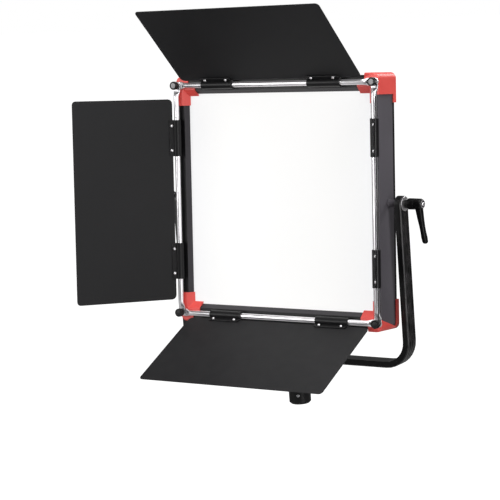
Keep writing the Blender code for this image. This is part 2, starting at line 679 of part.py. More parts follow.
def make_yoke():
    """U-shaped yoke bent from a grooved bar, with rounded arm ends."""
    bottom = YOKE_BOTTOM + YOKE_T
    top = PIVOT_Z + YOKE_W / 2 + 0.002
    centre = YOKE_IN - YOKE_BEND
    stations = [((YOKE_IN, top), (1, 0)), ((YOKE_IN, bottom + YOKE_BEND), (1, 0))]
    bends = 8
    for i in range(1, bends + 1):
        a = -math.pi / 2 * i / bends
        normal = (math.cos(a), math.sin(a))
        point = (centre + YOKE_BEND * normal[0], bottom + YOKE_BEND + YOKE_BEND * normal[1])
        stations.append((point, normal))
    stations += [((-x, z), (-nx, nz)) for (x, z), (nx, nz) in reversed(stations)]
    rings = []
    for (x, z), (nx, nz) in stations:
        rings.append([(x + nx * w, y, z + nz * w) for y, w in yoke_section()])
    yoke = add_object("yoke", loft(bmesh.new(), rings), None, "black_coat")
    half = YOKE_W / 2
    crown = [(y, PIVOT_Z + z) for y, z in arc((0, 0), half, 0, math.pi, 17)]
    crown += [(-half - 0.002, PIVOT_Z), (-half - 0.002, top + 0.002), (half + 0.002, top + 0.002),
              (half + 0.002, PIVOT_Z)]
    for sign in (-1, 1):
        span = sorted((sign * (YOKE_IN - 0.002), sign * (YOKE_OUT + 0.002)))
        boolean(yoke, prism_mesh(crown, span[0], span[1], along_x))
        boolean(yoke, cylinder("X", span[0], span[1], BORE_R, (0, PIVOT_Z)))
    boolean(yoke, cylinder("Z", YOKE_BOTTOM - 0.002, bottom + 0.002, BOLT_HOLE_R))


def make_socket():
    """Stand socket under the yoke, its bolt and its locking knob."""
    top = YOKE_BOTTOM - GAP
    edge = 0.0016
    profile = [(0.0, SOCKET_R - edge), (edge, SOCKET_R), (top - edge, SOCKET_R), (top, SOCKET_R - edge)]
    socket = add_object("stand_socket", turned_mesh(profile, "Z", 32), None, "black_coat", True)
    boolean(socket, cylinder("Z", -0.002, SOCKET_DEPTH, SOCKET_BORE))
    boolean(socket, cylinder("Z", SOCKET_DEPTH + 0.0020, top + 0.002, BOLT_HOLE_R))
    boolean(socket, cylinder("Y", 0.0, SOCKET_R + 0.002, BORE_R, (0, KNOB_Z), 16))
    for angle in (-32.0, 148.0):
        notch = box_mesh((SOCKET_R - 0.0035, -0.0014, -0.001), (SOCKET_R + 0.002, 0.0014, 0.0042))
        bmesh.ops.rotate(notch, verts=notch.verts, matrix=Matrix.Rotation(math.radians(angle), 3, "Z"))
        boolean(socket, notch)
    head = YOKE_BOTTOM + YOKE_T + GAP
    shank = BOLT_HOLE_R - GAP
    profile = [(SOCKET_DEPTH + 0.0025, shank), (head, shank), (head, 0.0085), (head + 0.0050, 0.0085),
               (head + 0.0058, 0.0077)]
    add_object("socket_bolt", turned_mesh(profile, "Z"), None, "steel", True)
    empty = add_empty("socket_knob_axis", Matrix.Translation((0, 0, KNOB_Z)))
    profile = [(SOCKET_BORE + 0.0006, STUD_R), (SOCKET_R + 0.0050, STUD_R), (SOCKET_R + 0.0050, 0.0070),
               (SOCKET_R + 0.0090, 0.0095), (SOCKET_R + 0.0240, 0.0105), (SOCKET_R + 0.0260, 0.0085)]
    add_object("socket_knob", turned_mesh(profile, "Y"), empty, "black_plastic", True)


def make_tilt_clamps():
    """Washers, hub, clamping lever and the plain knob on the pivot axis."""
    pivot = Matrix.Translation((0, 0, PIVOT_Z))
    washer = ((YOKE_OUT + GAP, WASHER_R), (YOKE_OUT + 0.0018, WASHER_R))
    for side, sign in (("left", -1), ("right", 1)):
        empty = add_empty("washer_%s_axis" % side, pivot)
        profile = [(sign * x, r) for x, r in washer]
        add_object("pivot_washer_" + side, turned_mesh(profile, "X", bore=BORE_R), empty, "chrome", True)
    start = washer[1][0] + GAP
    empty = add_empty("tilt_hub_axis", pivot)
    profile = [(start, 0.0063), (start + 0.0050, 0.0063), (start + 0.0058, 0.0080), (HUB_END, 0.0080)]
    add_object("tilt_hub", turned_mesh(profile, "X", bore=BORE_R), empty, "black_plastic", True)

    empty = add_empty("tilt_lever_axis", pivot)
    stud_end = HOUSING_HALF + 0.0020
    head = HUB_END + GAP
    profile = [(stud_end, STUD_R), (head, STUD_R), (head, 0.0080), (head + 0.0102, 0.0076),
               (head + 0.0130, 0.0060), (head + 0.0142, 0.0040)]
    lever = add_object("tilt_lever", turned_mesh(profile, "X"), empty, "black_plastic", True)
    rings = []
    for drop, shift, half_x, half_y in (
        (-0.0020, 0.0058, 0.0054, 0.0054),
        (0.0080, 0.0061, 0.0053, 0.0052),
        (0.0220, 0.0078, 0.0045, 0.0046),
        (0.0370, 0.0100, 0.0036, 0.0041),
        (0.0470, 0.0116, 0.0040, 0.0046),
        (0.0530, 0.0125, 0.0037, 0.0043),
        (0.0560, 0.0129, 0.0020, 0.0024),
    ):
        rings.append([(head + shift + half_x * a, half_y * b, -drop) for a, b in circle(1.0, 14)])
    boolean(lever, loft(bmesh.new(), rings), "UNION")

    empty = add_empty("left_knob_axis", pivot)
    profile = [(-stud_end, STUD_R), (-start, STUD_R), (-start, 0.0085), (-start - 0.0040, 0.0085),
               (-start - 0.0050, 0.0130), (-start - 0.0140, 0.0130), (-start - 0.0160, 0.0110)]
    add_object("left_tilt_knob", turned_mesh(profile, "X"), empty, "black_plastic", True)


def main():
    """Build the light, from the stand socket up to the leaves."""
    clear_scene()
    make_yoke()
    make_socket()
    make_tilt_clamps()
    tilt = Matrix.Translation((0, 0, PIVOT_Z)) @ Matrix.Rotation(HEAD_TILT, 4, "X")
    head = add_empty("head_axis", tilt)
    panel = add_empty("panel_centre", Matrix.Translation((0, 0, PANEL_LIFT)), head)
    make_rails(panel)
    make_guards(panel)
    make_inner_parts(panel)
    make_rear_cover(panel)
    make_bosses(panel)
    make_control_box(panel)
    make_connectors(panel)
    make_controls(panel)
    make_battery_plate(panel)
    make_rods(panel)
    make_thumbscrews(panel)
    make_leaves(panel)


main()
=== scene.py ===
"""Looks of a square LED panel light with barn doors, built around the fixed mechanical frame."""

import json
import logging
import math
from dataclasses import dataclass
from enum import Enum

import bmesh
import bpy
from mathutils import Matrix, Vector

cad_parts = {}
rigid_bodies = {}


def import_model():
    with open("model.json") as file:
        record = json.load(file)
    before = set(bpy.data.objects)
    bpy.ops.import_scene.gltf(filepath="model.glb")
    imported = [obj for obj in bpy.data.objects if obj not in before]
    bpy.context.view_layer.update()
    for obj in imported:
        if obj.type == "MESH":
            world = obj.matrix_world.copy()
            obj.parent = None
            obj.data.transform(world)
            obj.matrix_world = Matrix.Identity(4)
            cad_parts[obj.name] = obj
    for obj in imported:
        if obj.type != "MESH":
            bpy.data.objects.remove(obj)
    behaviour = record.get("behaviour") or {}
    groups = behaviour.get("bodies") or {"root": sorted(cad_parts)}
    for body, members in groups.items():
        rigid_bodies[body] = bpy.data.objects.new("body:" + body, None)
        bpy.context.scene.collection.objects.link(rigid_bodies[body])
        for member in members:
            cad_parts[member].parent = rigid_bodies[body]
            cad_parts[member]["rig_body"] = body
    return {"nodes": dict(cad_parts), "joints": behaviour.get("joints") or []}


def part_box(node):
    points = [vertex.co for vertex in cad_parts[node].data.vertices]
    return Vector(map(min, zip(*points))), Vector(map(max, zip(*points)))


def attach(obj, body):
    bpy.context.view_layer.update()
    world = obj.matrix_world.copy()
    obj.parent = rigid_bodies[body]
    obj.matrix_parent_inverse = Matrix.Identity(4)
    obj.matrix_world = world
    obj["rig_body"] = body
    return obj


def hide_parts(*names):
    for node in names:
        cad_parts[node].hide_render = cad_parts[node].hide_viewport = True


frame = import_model()

LOG = logging.getLogger("panel_light")
GAP = 0.0003
ROUND = 64
SMOOTH_ANGLE = math.radians(32)

Points = list[tuple[float, float]]
Rings = list[list[Vector]]
Colour = tuple[float, float, float]


class Side(Enum):
    """The four sides of the lit opening, each with its outward direction in the panel's axes."""

    TOP = (0, 0, 1)
    BOTTOM = (0, 0, -1)
    LEFT = (-1, 0, 0)
    RIGHT = (1, 0, 0)


class Corner(Enum):
    """The four corners of the housing as (sideways, upward) signs."""

    TOP_LEFT = (-1, 1)
    TOP_RIGHT = (1, 1)
    BOTTOM_LEFT = (-1, -1)
    BOTTOM_RIGHT = (1, -1)


# ---------------------------------------------------------------- shader node groups
class NodeDesk:
    """Adds nodes to one node tree and wires them."""

    def __init__(self, tree: bpy.types.NodeTree) -> None:
        """Work on a tree.

        Args:
            tree: The node tree that new nodes go into.
        """
        self.tree = tree

    def add(self, kind: str, wires: dict | None = None, **settings: object) -> bpy.types.Node:
        """Add one node.

        Args:
            kind: The node's type name.
            wires: Socket name or index to a value or to another node's output socket.
            settings: Properties set on the node itself.

        Returns:
            The new node.
        """
        node = self.tree.nodes.new(kind)
        for key, value in settings.items():
            setattr(node, key, value)
        for key, value in (wires or {}).items():
            if isinstance(value, bpy.types.NodeSocket):
                self.tree.links.new(value, node.inputs[key])
            else:
                node.inputs[key].default_value = value
        return node

    def sum(self, operation: str, first: object, second: object = 0.0, clamp: bool = False) -> bpy.types.NodeSocket:
        """Add a math node and return its output."""
        node = self.add("ShaderNodeMath", {0: first, 1: second}, operation=operation, use_clamp=clamp)
        return node.outputs[0]

    def mix(self, factor: object, first: object, second: object) -> bpy.types.NodeSocket:
        """Add a colour mix node and return its output."""
        node = self.add("ShaderNodeMix", {0: factor, 6: first, 7: second}, data_type="RGBA")
        return node.outputs[2]

    def noise(self, scale: object, detail: float = 2.0, stretch: Vector | None = None) -> bpy.types.NodeSocket:
        """Add a noise texture on the piece's own coordinates and return its value."""
        place = self.add("ShaderNodeTexCoord").outputs["Object"]
        if stretch is not None:
            place = self.add("ShaderNodeVectorMath", {0: place, 1: stretch}, operation="MULTIPLY").outputs[0]
        node = self.add("ShaderNodeTexNoise", {"Vector": place, "Scale": scale, "Detail": detail})
        return node.outputs[0]

    def ramp(self, value: object, low: float, high: float) -> bpy.types.NodeSocket:
        """Stretch the band from low to high over 0 to 1, clamped, and return it."""
        node = self.add("ShaderNodeMapRange", {"Value": value, "From Min": low, "From Max": high})
        return node.outputs[0]


class EffectGroup:
    """A shader node group that several finishes share."""

    def __init__(self, name: str, inputs: dict[str, object], outputs: dict[str, str]) -> None:
        """Make the group and its sockets.

        Args:
            name: The group's name.
            inputs: Input names with their defaults; a tuple makes a colour socket.
            outputs: Output names with their socket types.
        """
        self.tree = bpy.data.node_groups.new(name, "ShaderNodeTree")
        for label, default in inputs.items():
            kind = "NodeSocketColor" if isinstance(default, tuple) else "NodeSocketFloat"
            socket = self.tree.interface.new_socket(label, in_out="INPUT", socket_type=kind)
            socket.default_value = default
        for label, kind in outputs.items():
            self.tree.interface.new_socket(label, in_out="OUTPUT", socket_type=kind)
        self.desk = NodeDesk(self.tree)
        self.entry = self.desk.add("NodeGroupInput").outputs
        self.exit = self.desk.add("NodeGroupOutput")

    def send(self, label: str, socket: bpy.types.NodeSocket) -> None:
        """Wire a socket to one of the group's outputs."""
        self.tree.links.new(socket, self.exit.inputs[label])


def tone_group() -> bpy.types.NodeTree:
    """Slow change between two colours, as an uneven coat or moulding has."""
    group = EffectGroup("surface_tone", {"Dark": (0, 0, 0, 1), "Light": (1, 1, 1, 1), "Scale": 20.0},
                        {"Colour": "NodeSocketColor", "Mask": "NodeSocketFloat"})
    desk = group.desk
    broad = desk.noise(group.entry["Scale"], 3.0)
    fine = desk.noise(desk.sum("MULTIPLY", group.entry["Scale"], 30.0), 2.0)
    mask = desk.ramp(desk.sum("ADD", desk.sum("MULTIPLY", fine, 0.45), broad), 0.42, 1.02)
    group.send("Colour", desk.mix(mask, group.entry["Dark"], group.entry["Light"]))
    group.send("Mask", mask)
    return group.tree


def grain_group() -> bpy.types.NodeTree:
    """Fine bumps of a powder coat or of a textured mould."""
    group = EffectGroup("coat_grain", {"Scale": 1400.0, "Softness": 0.5}, {"Height": "NodeSocketFloat"})
    desk = group.desk
    fine = desk.noise(group.entry["Scale"], 2.0)
    coarse = desk.noise(desk.sum("MULTIPLY", group.entry["Scale"], 0.3), 1.0)
    height = desk.sum("ADD", fine, desk.sum("MULTIPLY", coarse, group.entry["Softness"]))
    group.send("Height", height)
    return group.tree


def wear_and_highlight_group() -> bpy.types.NodeTree:
    """Mask of edges broken up by noise, used for rubbed paint and for painted edge highlights."""
    group = EffectGroup("edge_wear", {"Radius": 0.0006, "Amount": 0.5}, {"Mask": "NodeSocketFloat"})
    desk = group.desk
    soft = desk.add("ShaderNodeBevel", {"Radius": group.entry["Radius"]}, samples=4).outputs[0]
    sharp = desk.add("ShaderNodeNewGeometry").outputs["Normal"]
    same = desk.add("ShaderNodeVectorMath", {0: soft, 1: sharp}, operation="DOT_PRODUCT").outputs["Value"]
    edge = desk.ramp(same, 0.995, 0.90)
    patches = desk.ramp(desk.noise(90.0, 4.0), 0.40, 0.72)
    mask = desk.sum("MULTIPLY", desk.sum("MULTIPLY", edge, patches), group.entry["Amount"], clamp=True)
    group.send("Mask", mask)
    return group.tree


def dust_group() -> bpy.types.NodeTree:
    """Mask of a thin film of dust on faces that look up."""
    group = EffectGroup("dust_film", {"Amount": 0.2, "Scale": 60.0}, {"Mask": "NodeSocketFloat"})
    desk = group.desk
    normal = desk.add("ShaderNodeNewGeometry").outputs["Normal"]
    upward = desk.add("ShaderNodeSeparateXYZ", {0: normal}).outputs["Z"]
    lying = desk.ramp(upward, 0.15, 0.95)
    specks = desk.ramp(desk.noise(group.entry["Scale"], 6.0), 0.35, 0.75)
    mask = desk.sum("MULTIPLY", desk.sum("MULTIPLY", lying, specks), group.entry["Amount"], clamp=True)
    group.send("Mask", mask)
    return group.tree


def brush_group() -> bpy.types.NodeTree:
    """Drawn lines of rolled, turned or brushed metal."""
    group = EffectGroup("drawn_lines", {"Scale": 60.0}, {"Lines": "NodeSocketFloat"})
    desk = group.desk
    across = desk.noise(group.entry["Scale"], 4.0, Vector((30.0, 1.5, 1.5)))
    along = desk.noise(group.entry["Scale"], 4.0, Vector((1.5, 1.5, 30.0)))
    group.send("Lines", desk.sum("MULTIPLY", desk.sum("ADD", across, along), 0.5))
    return group.tree


@dataclass(frozen=True)
class Effects:
    """The shared node groups."""

    tone: bpy.types.NodeTree
    grain: bpy.types.NodeTree
    wear_and_highlight: bpy.types.NodeTree
    dust: bpy.types.NodeTree
    brush: bpy.types.NodeTree

    @staticmethod
    def make() -> "Effects":
        """Build every group once."""
        return Effects(tone_group(), grain_group(), wear_and_highlight_group(), dust_group(), brush_group())


# ---------------------------------------------------------------- finishes
class MaterialDesk(NodeDesk):
    """A new material with its Principled shader and the shared effects at hand."""

    def __init__(self, name: str, effects: Effects) -> None:
        """Start a material.

        Args:
            name: The material's name.
            effects: The shared node groups.
        """
        self.material = bpy.data.materials.new(name)
        self.material.use_nodes = True
        super().__init__(self.material.node_tree)
        self.shader = self.tree.nodes["Principled BSDF"]
        self.effects = effects

    def effect(self, tree: bpy.types.NodeTree, **values: object) -> bpy.types.bpy_prop_collection:
        """Place a shared group with its own values and return its outputs."""
        node = self.add("ShaderNodeGroup", node_tree=tree)
        for label, value in values.items():
            node.inputs[label].default_value = value
        return node.outputs

    def feed(self, label: str, value: object) -> None:
        """Give one of the shader's inputs a value or a wire."""
        if isinstance(value, bpy.types.NodeSocket):
            self.tree.links.new(value, self.shader.inputs[label])
        else:
            self.shader.inputs[label].default_value = value

    def bump(self, height: bpy.types.NodeSocket, distance: float, strength: float = 0.6) -> None:
        """Wire a height to the shader's normal through a Bump node."""
        node = self.add("ShaderNodeBump", {"Height": height, "Distance": distance, "Strength": strength})
        self.feed("Normal", node.outputs["Normal"])


@dataclass(frozen=True)
class PaintFinish:
    """A powder coat or a moulded plastic, with grain, a little dust, and lighter edges that are partly rubbed paint
    and partly painted highlight.
    """

    name: str
    dark: Colour
    light: Colour
    rough: float = 0.5
    specular: float = 0.3
    metal: float = 0.0
    grain: float = 1400.0
    relief: float = 0.00006
    # Amount and colour of the lighter edges: partly rubbed paint, partly painted highlight.
    wear_and_highlight: float = 0.35
    worn_and_lit: Colour = (0.20, 0.20, 0.21)
    dust: float = 0.008
    tone_scale: float = 14.0

    def build(self, effects: Effects) -> bpy.types.Material:
        """Make the material from the shared effects."""
        desk = MaterialDesk(self.name, effects)
        tone = desk.effect(effects.tone, Dark=(*self.dark, 1), Light=(*self.light, 1), Scale=self.tone_scale)
        # Lighter edges mixed in: rubbed paint, and painted highlight, strongest on the yoke.
        worn_and_lit = desk.effect(effects.wear_and_highlight, Amount=self.wear_and_highlight)["Mask"]
        film = desk.effect(effects.dust, Amount=self.dust)["Mask"]
        colour = desk.mix(worn_and_lit, tone["Colour"], (*self.worn_and_lit, 1))
        desk.feed("Base Color", desk.mix(film, colour, (0.42, 0.40, 0.38, 1)))
        rough = desk.sum("ADD", desk.sum("MULTIPLY", tone["Mask"], 0.10), self.rough - 0.05)
        desk.feed("Roughness", desk.sum("ADD", rough, desk.sum("MULTIPLY", film, 0.3), clamp=True))
        desk.feed("Specular IOR Level", self.specular)
        desk.feed("Metallic", self.metal)
        desk.bump(desk.effect(effects.grain, Scale=self.grain)["Height"], self.relief)
        return desk.material


@dataclass(frozen=True)
class MetalFinish:
    """Bare or plated metal, with drawn lines and faint smudges."""

    name: str
    dark: Colour
    light: Colour
    rough: float
    lines: float = 0.00001
    line_scale: float = 60.0

    def build(self, effects: Effects) -> bpy.types.Material:
        """Make the material from the shared effects."""
        desk = MaterialDesk(self.name, effects)
        tone = desk.effect(effects.tone, Dark=(*self.dark, 1), Light=(*self.light, 1), Scale=35.0)
        lines = desk.effect(effects.brush, Scale=self.line_scale)["Lines"]
        film = desk.effect(effects.dust, Amount=0.06)["Mask"]
        desk.feed("Base Color", desk.mix(film, tone["Colour"], (0.5, 0.48, 0.46, 1)))
        desk.feed("Metallic", 1.0)
        spread = desk.sum("MULTIPLY", tone["Mask"], self.rough * 0.5)
        desk.feed("Roughness", desk.sum("ADD", spread, self.rough * 0.75))
        desk.bump(lines, self.lines, 0.5)
        return desk.material


@dataclass(frozen=True)
class OpalFinish:
    """A glowing opal sheet, a little cooler and dimmer towards its margins."""

    name: str
    glow: float
    half: float

    def build(self, effects: Effects) -> bpy.types.Material:
        """Make the material from the shared effects."""
        desk = MaterialDesk(self.name, effects)
        tone = desk.effect(effects.tone, Dark=(0.20, 0.20, 0.20, 1), Light=(0.23, 0.23, 0.23, 1), Scale=6.0)
        place = desk.add("ShaderNodeTexCoord").outputs["Object"]
        parts = desk.add("ShaderNodeSeparateXYZ", {0: place}).outputs
        margin = desk.ramp(desk.sum("ABSOLUTE", parts["X"]), self.half * 0.55, self.half * 1.05)
        desk.feed("Base Color", tone["Colour"])
        desk.feed("Emission Color", desk.mix(margin, (1.0, 0.995, 0.985, 1), (0.93, 0.935, 0.95, 1)))
        desk.feed("Emission Strength", self.glow)
        desk.feed("Roughness", desk.sum("ADD", desk.sum("MULTIPLY", tone["Mask"], 0.1), 0.5))
        desk.bump(desk.effect(effects.grain, Scale=900.0)["Height"], 0.00003)
        return desk.material


@dataclass(frozen=True)
class BoardFinish:
    """Coated circuit board with copper tracks under the mask."""

    name: str
    base: Colour
    track: Colour

    def build(self, effects: Effects) -> bpy.types.Material:
        """Make the material from the shared effects."""
        desk = MaterialDesk(self.name, effects)
        tone = desk.effect(effects.tone, Dark=(*self.base, 1), Light=(*self.track, 1), Scale=40.0)
        place = desk.add("ShaderNodeTexCoord").outputs["Object"]
        cells = desk.add("ShaderNodeTexBrick", {"Vector": place, "Scale": 220.0, "Mortar Size": 0.05})
        tracks = desk.mix(desk.sum("MULTIPLY", cells.outputs["Fac"], 0.6), tone["Colour"], (*self.track, 1))
        desk.feed("Base Color", tracks)
        desk.feed("Roughness", desk.sum("ADD", desk.sum("MULTIPLY", tone["Mask"], 0.2), 0.35))
        desk.bump(cells.outputs["Fac"], 0.00004)
        return desk.material


@dataclass(frozen=True)
class GlowFinish:
    """Small lit marks, such as the bars of a display."""

    name: str
    colour: Colour
    strength: float

    def build(self, effects: Effects) -> bpy.types.Material:
        """Make the material from the shared effects."""
        desk = MaterialDesk(self.name, effects)
        dim = tuple(0.7 * c for c in self.colour)
        tone = desk.effect(effects.tone, Dark=(*dim, 1), Light=(*self.colour, 1), Scale=300.0)
        desk.feed("Base Color", tone["Colour"])
        desk.feed("Emission Color", tone["Colour"])
        desk.feed("Emission Strength", self.strength)
        desk.feed("Roughness", desk.sum("ADD", desk.sum("MULTIPLY", tone["Mask"], 0.1), 0.3))
        return desk.material


class Palette:
    """Every finish of the light, built once and handed out by name."""

    FINISHES = (
        PaintFinish("black_coat", (0.0034, 0.0034, 0.0038), (0.0066, 0.0062, 0.0070), 0.40, 0.22),
        PaintFinish("leaf_coat", (0.0085, 0.0085, 0.0092), (0.0125, 0.0121, 0.0132), 0.56, 0.20, grain=1100.0,
                    wear_and_highlight=0.25),
        PaintFinish("grey_coat", (0.072, 0.066, 0.076), (0.084, 0.078, 0.089), 0.50, 0.25),
        # A lighter copy of the black coat: painted light on the rails' inward slopes.
        PaintFinish("slope_coat", (0.026, 0.024, 0.027), (0.034, 0.031, 0.036), 0.46, 0.25),
        # On the yoke the lighter edge colour, at full amount, is a painted highlight along its edges and ribs.
        PaintFinish("yoke_coat", (0.0020, 0.0020, 0.0022), (0.0036, 0.0034, 0.0038), 0.34, 0.42, wear_and_highlight=1.0,
                    worn_and_lit=(0.26, 0.24, 0.25)),
        PaintFinish("guard_red", (0.60, 0.058, 0.050), (0.72, 0.085, 0.072), 0.42, 0.40, grain=1800.0,
                    relief=0.00003, worn_and_lit=(0.80, 0.22, 0.18), tone_scale=22.0),
        PaintFinish("black_plastic", (0.0022, 0.0022, 0.0024), (0.0046, 0.0044, 0.0048), 0.34, 0.22, grain=2400.0,
                    relief=0.00004, wear_and_highlight=0.25, worn_and_lit=(0.09, 0.09, 0.09)),
        PaintFinish("knob_grey", (0.16, 0.155, 0.16), (0.24, 0.235, 0.24), 0.40, 0.45, grain=2400.0,
                    relief=0.00002, wear_and_highlight=0.2),
        PaintFinish("mark_white", (0.70, 0.70, 0.69), (0.82, 0.82, 0.80), 0.45, 0.40, wear_and_highlight=0.1),
        PaintFinish("window_dark", (0.006, 0.009, 0.012), (0.010, 0.014, 0.018), 0.10, 0.60, grain=500.0,
                    relief=0.00001, wear_and_highlight=0.0),
        PaintFinish("cavity_black", (0.004, 0.004, 0.004), (0.007, 0.007, 0.007), 0.7, 0.1, wear_and_highlight=0.0, dust=0.0),
        MetalFinish("chrome", (0.84, 0.82, 0.84), (0.93, 0.91, 0.93), 0.36, 0.0000006, 30.0),
        MetalFinish("steel", (0.40, 0.40, 0.42), (0.56, 0.56, 0.57), 0.30, 0.00001),
        MetalFinish("aluminium", (0.52, 0.52, 0.54), (0.64, 0.64, 0.66), 0.42, 0.00002),
        MetalFinish("brass", (0.62, 0.43, 0.16), (0.76, 0.55, 0.24), 0.28, 0.00001),
        BoardFinish("circuit_board", (0.012, 0.075, 0.035), (0.03, 0.15, 0.07)),
        GlowFinish("display_marks", (0.35, 0.75, 0.95), 1.2),
    )

    def __init__(self, opening_half: float) -> None:
        """Build every finish.

        Args:
            opening_half: Half width of the lit opening.
        """
        effects = Effects.make()
        self.effects = effects
        finishes = (*self.FINISHES, OpalFinish("opal_sheet", 0.765, opening_half))
        self.materials = {finish.name: finish.build(effects) for finish in finishes}

    def __getitem__(self, name: str) -> bpy.types.Material:
        """The material of a finish."""
        return self.materials[name]


# ---------------------------------------------------------------- mesh tools
def axes(x: Vector, y: Vector, z: Vector, origin: Vector) -> Matrix:
    """A matrix whose columns are three axes and an origin."""
    return Matrix.Translation(origin) @ Matrix((x, y, z)).transposed().to_4x4()


def facing(direction: Vector, origin: Vector, upward: Vector = Vector((0, 0, 1))) -> Matrix:
    """A matrix whose Z axis points along a direction from an origin."""
    z = Vector(direction).normalized()
    x = upward.cross(z)
    if x.length < 0.1:
        x = Vector((0, 1, 0)).cross(z)
    x.normalize()
    return axes(x, z.cross(x), z, Vector(origin))


def loft(rings: Rings, closed: bool = False) -> bmesh.types.BMesh:
    """Join rings of equal length with quads.

    Args:
        rings: Rings of points, in order.
        closed: True joins the last ring to the first; False caps both ends.

    Returns:
        The new mesh.
    """
    bm = bmesh.new()
    loops = [[bm.verts.new(p) for p in ring] for ring in rings]
    pairs = list(zip(loops, loops[1:])) + ([(loops[-1], loops[0])] if closed else [])
    for low, high in pairs:
        for i in range(len(low)):
            j = (i + 1) % len(low)
            bm.faces.new((low[i], low[j], high[j], high[i]))
    if not closed:
        bm.faces.new(loops[0][::-1])
        bm.faces.new(loops[-1])
    bmesh.ops.recalc_face_normals(bm, faces=bm.faces)
    return bm


def filleted(points: Points, radius: float, steps: int = 4, closed: bool = False) -> Points:
    """Round the corners of an outline.

    Args:
        points: The outline's corners.
        radius: How far the rounding reaches along each edge.
        steps: Segments in each rounded corner.
        closed: Whether the outline's last point joins its first.

    Returns:
        The rounded outline.
    """
    count = len(points)
    result: Points = []
    for i, point in enumerate(points):
        if not closed and i in (0, count - 1):
            result.append(point)
            continue
        corner = Vector(point)
        before, after = Vector(points[i - 1]), Vector(points[(i + 1) % count])
        reach_in = min(radius, 0.45 * (before - corner).length)
        reach_out = min(radius, 0.45 * (after - corner).length)
        start = corner + (before - corner).normalized() * reach_in
        end = corner + (after - corner).normalized() * reach_out
        for step in range(steps + 1):
            t = step / steps
            result.append(tuple(start * (1 - t) ** 2 + corner * 2 * t * (1 - t) + end * t * t))
    return result


def turned(profile: Points, count: int = ROUND, flutes: int = 0, depth: float = 0.0,
           closed: bool = False) -> bmesh.types.BMesh:
    """Turn a profile of (distance along the axis, radius) about the local Z axis.

    Args:
        profile: The outline, from one end to the other.
        count: Sides of the turned body.
        flutes: Grooves round the widest rings; 0 leaves it round.
        depth: Depth of the grooves as a share of the radius.
        closed: True where the outline closes on itself, as on a ring or tube.

    Returns:
        The new mesh.
    """
    widest = max(radius for _, radius in profile)
    rings = []
    for along, radius in profile:
        grooved = depth if flutes and radius > widest * 0.955 else 0.0
        ring = []
        for i in range(count):
            angle = 2 * math.pi * i / count
            r = radius * (1 - grooved * (0.5 - 0.5 * math.cos(flutes * angle)))
            ring.append(Vector((r * math.cos(angle), r * math.sin(angle), along)))
        rings.append(ring)
    return loft(rings, closed)


def plate(outline: Points, low: float, high: float, edge: float = 0.0002) -> bmesh.types.BMesh:
    """A flat plate with softened edges, from an outline in the local XY plane."""
    centre = sum((Vector(p) for p in outline), Vector((0, 0))) / len(outline)
    rings = []
    for z, inset in ((low, edge), (low + edge, 0.0), (high - edge, 0.0), (high, edge)):
        ring = []
        for point in outline:
            away = Vector(point) - centre
            shorter = away * (1 - inset / max(away.length, edge))
            ring.append(Vector((centre.x + shorter.x, centre.y + shorter.y, z)))
        rings.append(ring)
    return loft(rings)


def rectangle(width: float, height: float, radius: float, centre: tuple[float, float] = (0, 0)) -> Points:
    """Outline of a rounded rectangle."""
    x, y = centre
    w, h = width / 2, height / 2
    corners = [(x - w, y - h), (x + w, y - h), (x + w, y + h), (x - w, y + h)]
    return filleted(corners, radius, 4, closed=True)


def mesh_object(name: str, bm: bmesh.types.BMesh, place: Matrix, *materials: bpy.types.Material) -> bpy.types.Object:
    """Turn a mesh in local axes into an object.

    Args:
        name: The piece's name.
        bm: The mesh, which is freed.
        place: From local axes to the row frame.
        materials: The materials of the object's slots.

    Returns:
        The new object, smooth apart from its sharp edges.
    """
    mesh = bpy.data.meshes.new(name)
    bm.transform(place)
    bm.to_mesh(mesh)
    bm.free()
    for item in materials:
        mesh.materials.append(item)
    mesh.shade_smooth()
    mesh.set_sharp_from_angle(angle=SMOOTH_ANGLE)
    obj = bpy.data.objects.new(name, mesh)
    bpy.context.scene.collection.objects.link(obj)
    return obj


def copy_object(name: str, source: bpy.types.Object, place: Matrix) -> bpy.types.Object:
    """Another object with the same mesh, at its own place."""
    obj = bpy.data.objects.new(name, source.data)
    bpy.context.scene.collection.objects.link(obj)
    obj.matrix_world = place
    return obj


def carve(obj: bpy.types.Object, cutter: bmesh.types.BMesh, place: Matrix, operation: str = "DIFFERENCE") -> None:
    """Cut a mesh from an object with an exact Boolean, applied at once."""
    tool = mesh_object("cutter", cutter, place)
    modifier = obj.modifiers.new("cut", "BOOLEAN")
    modifier.object = tool
    modifier.operation = operation
    modifier.solver = "EXACT"
    graph = bpy.context.evaluated_depsgraph_get()
    graph.update()
    result = bpy.data.meshes.new_from_object(obj.evaluated_get(graph))
    obj.modifiers.clear()
    old, obj.data = obj.data, result
    bpy.data.meshes.remove(old)
    bpy.data.objects.remove(tool, do_unlink=True)
    obj.data.shade_smooth()
    obj.data.set_sharp_from_angle(angle=SMOOTH_ANGLE)


def node_vertices(node: str, place: Matrix) -> list[Vector]:
    """Vertices of a mechanical node in the local axes of a matrix."""
    inverse = place.inverted()
    return [inverse @ vertex.co for vertex in frame["nodes"][node].data.vertices]


def local_box(node: str, place: Matrix) -> tuple[Vector, Vector]:
    """Lowest and highest corner of a mechanical node in the local axes of a matrix."""
    points = node_vertices(node, place)
    low = Vector(min(p[i] for p in points) for i in range(3))
    high = Vector(max(p[i] for p in points) for i in range(3))
    return low, high


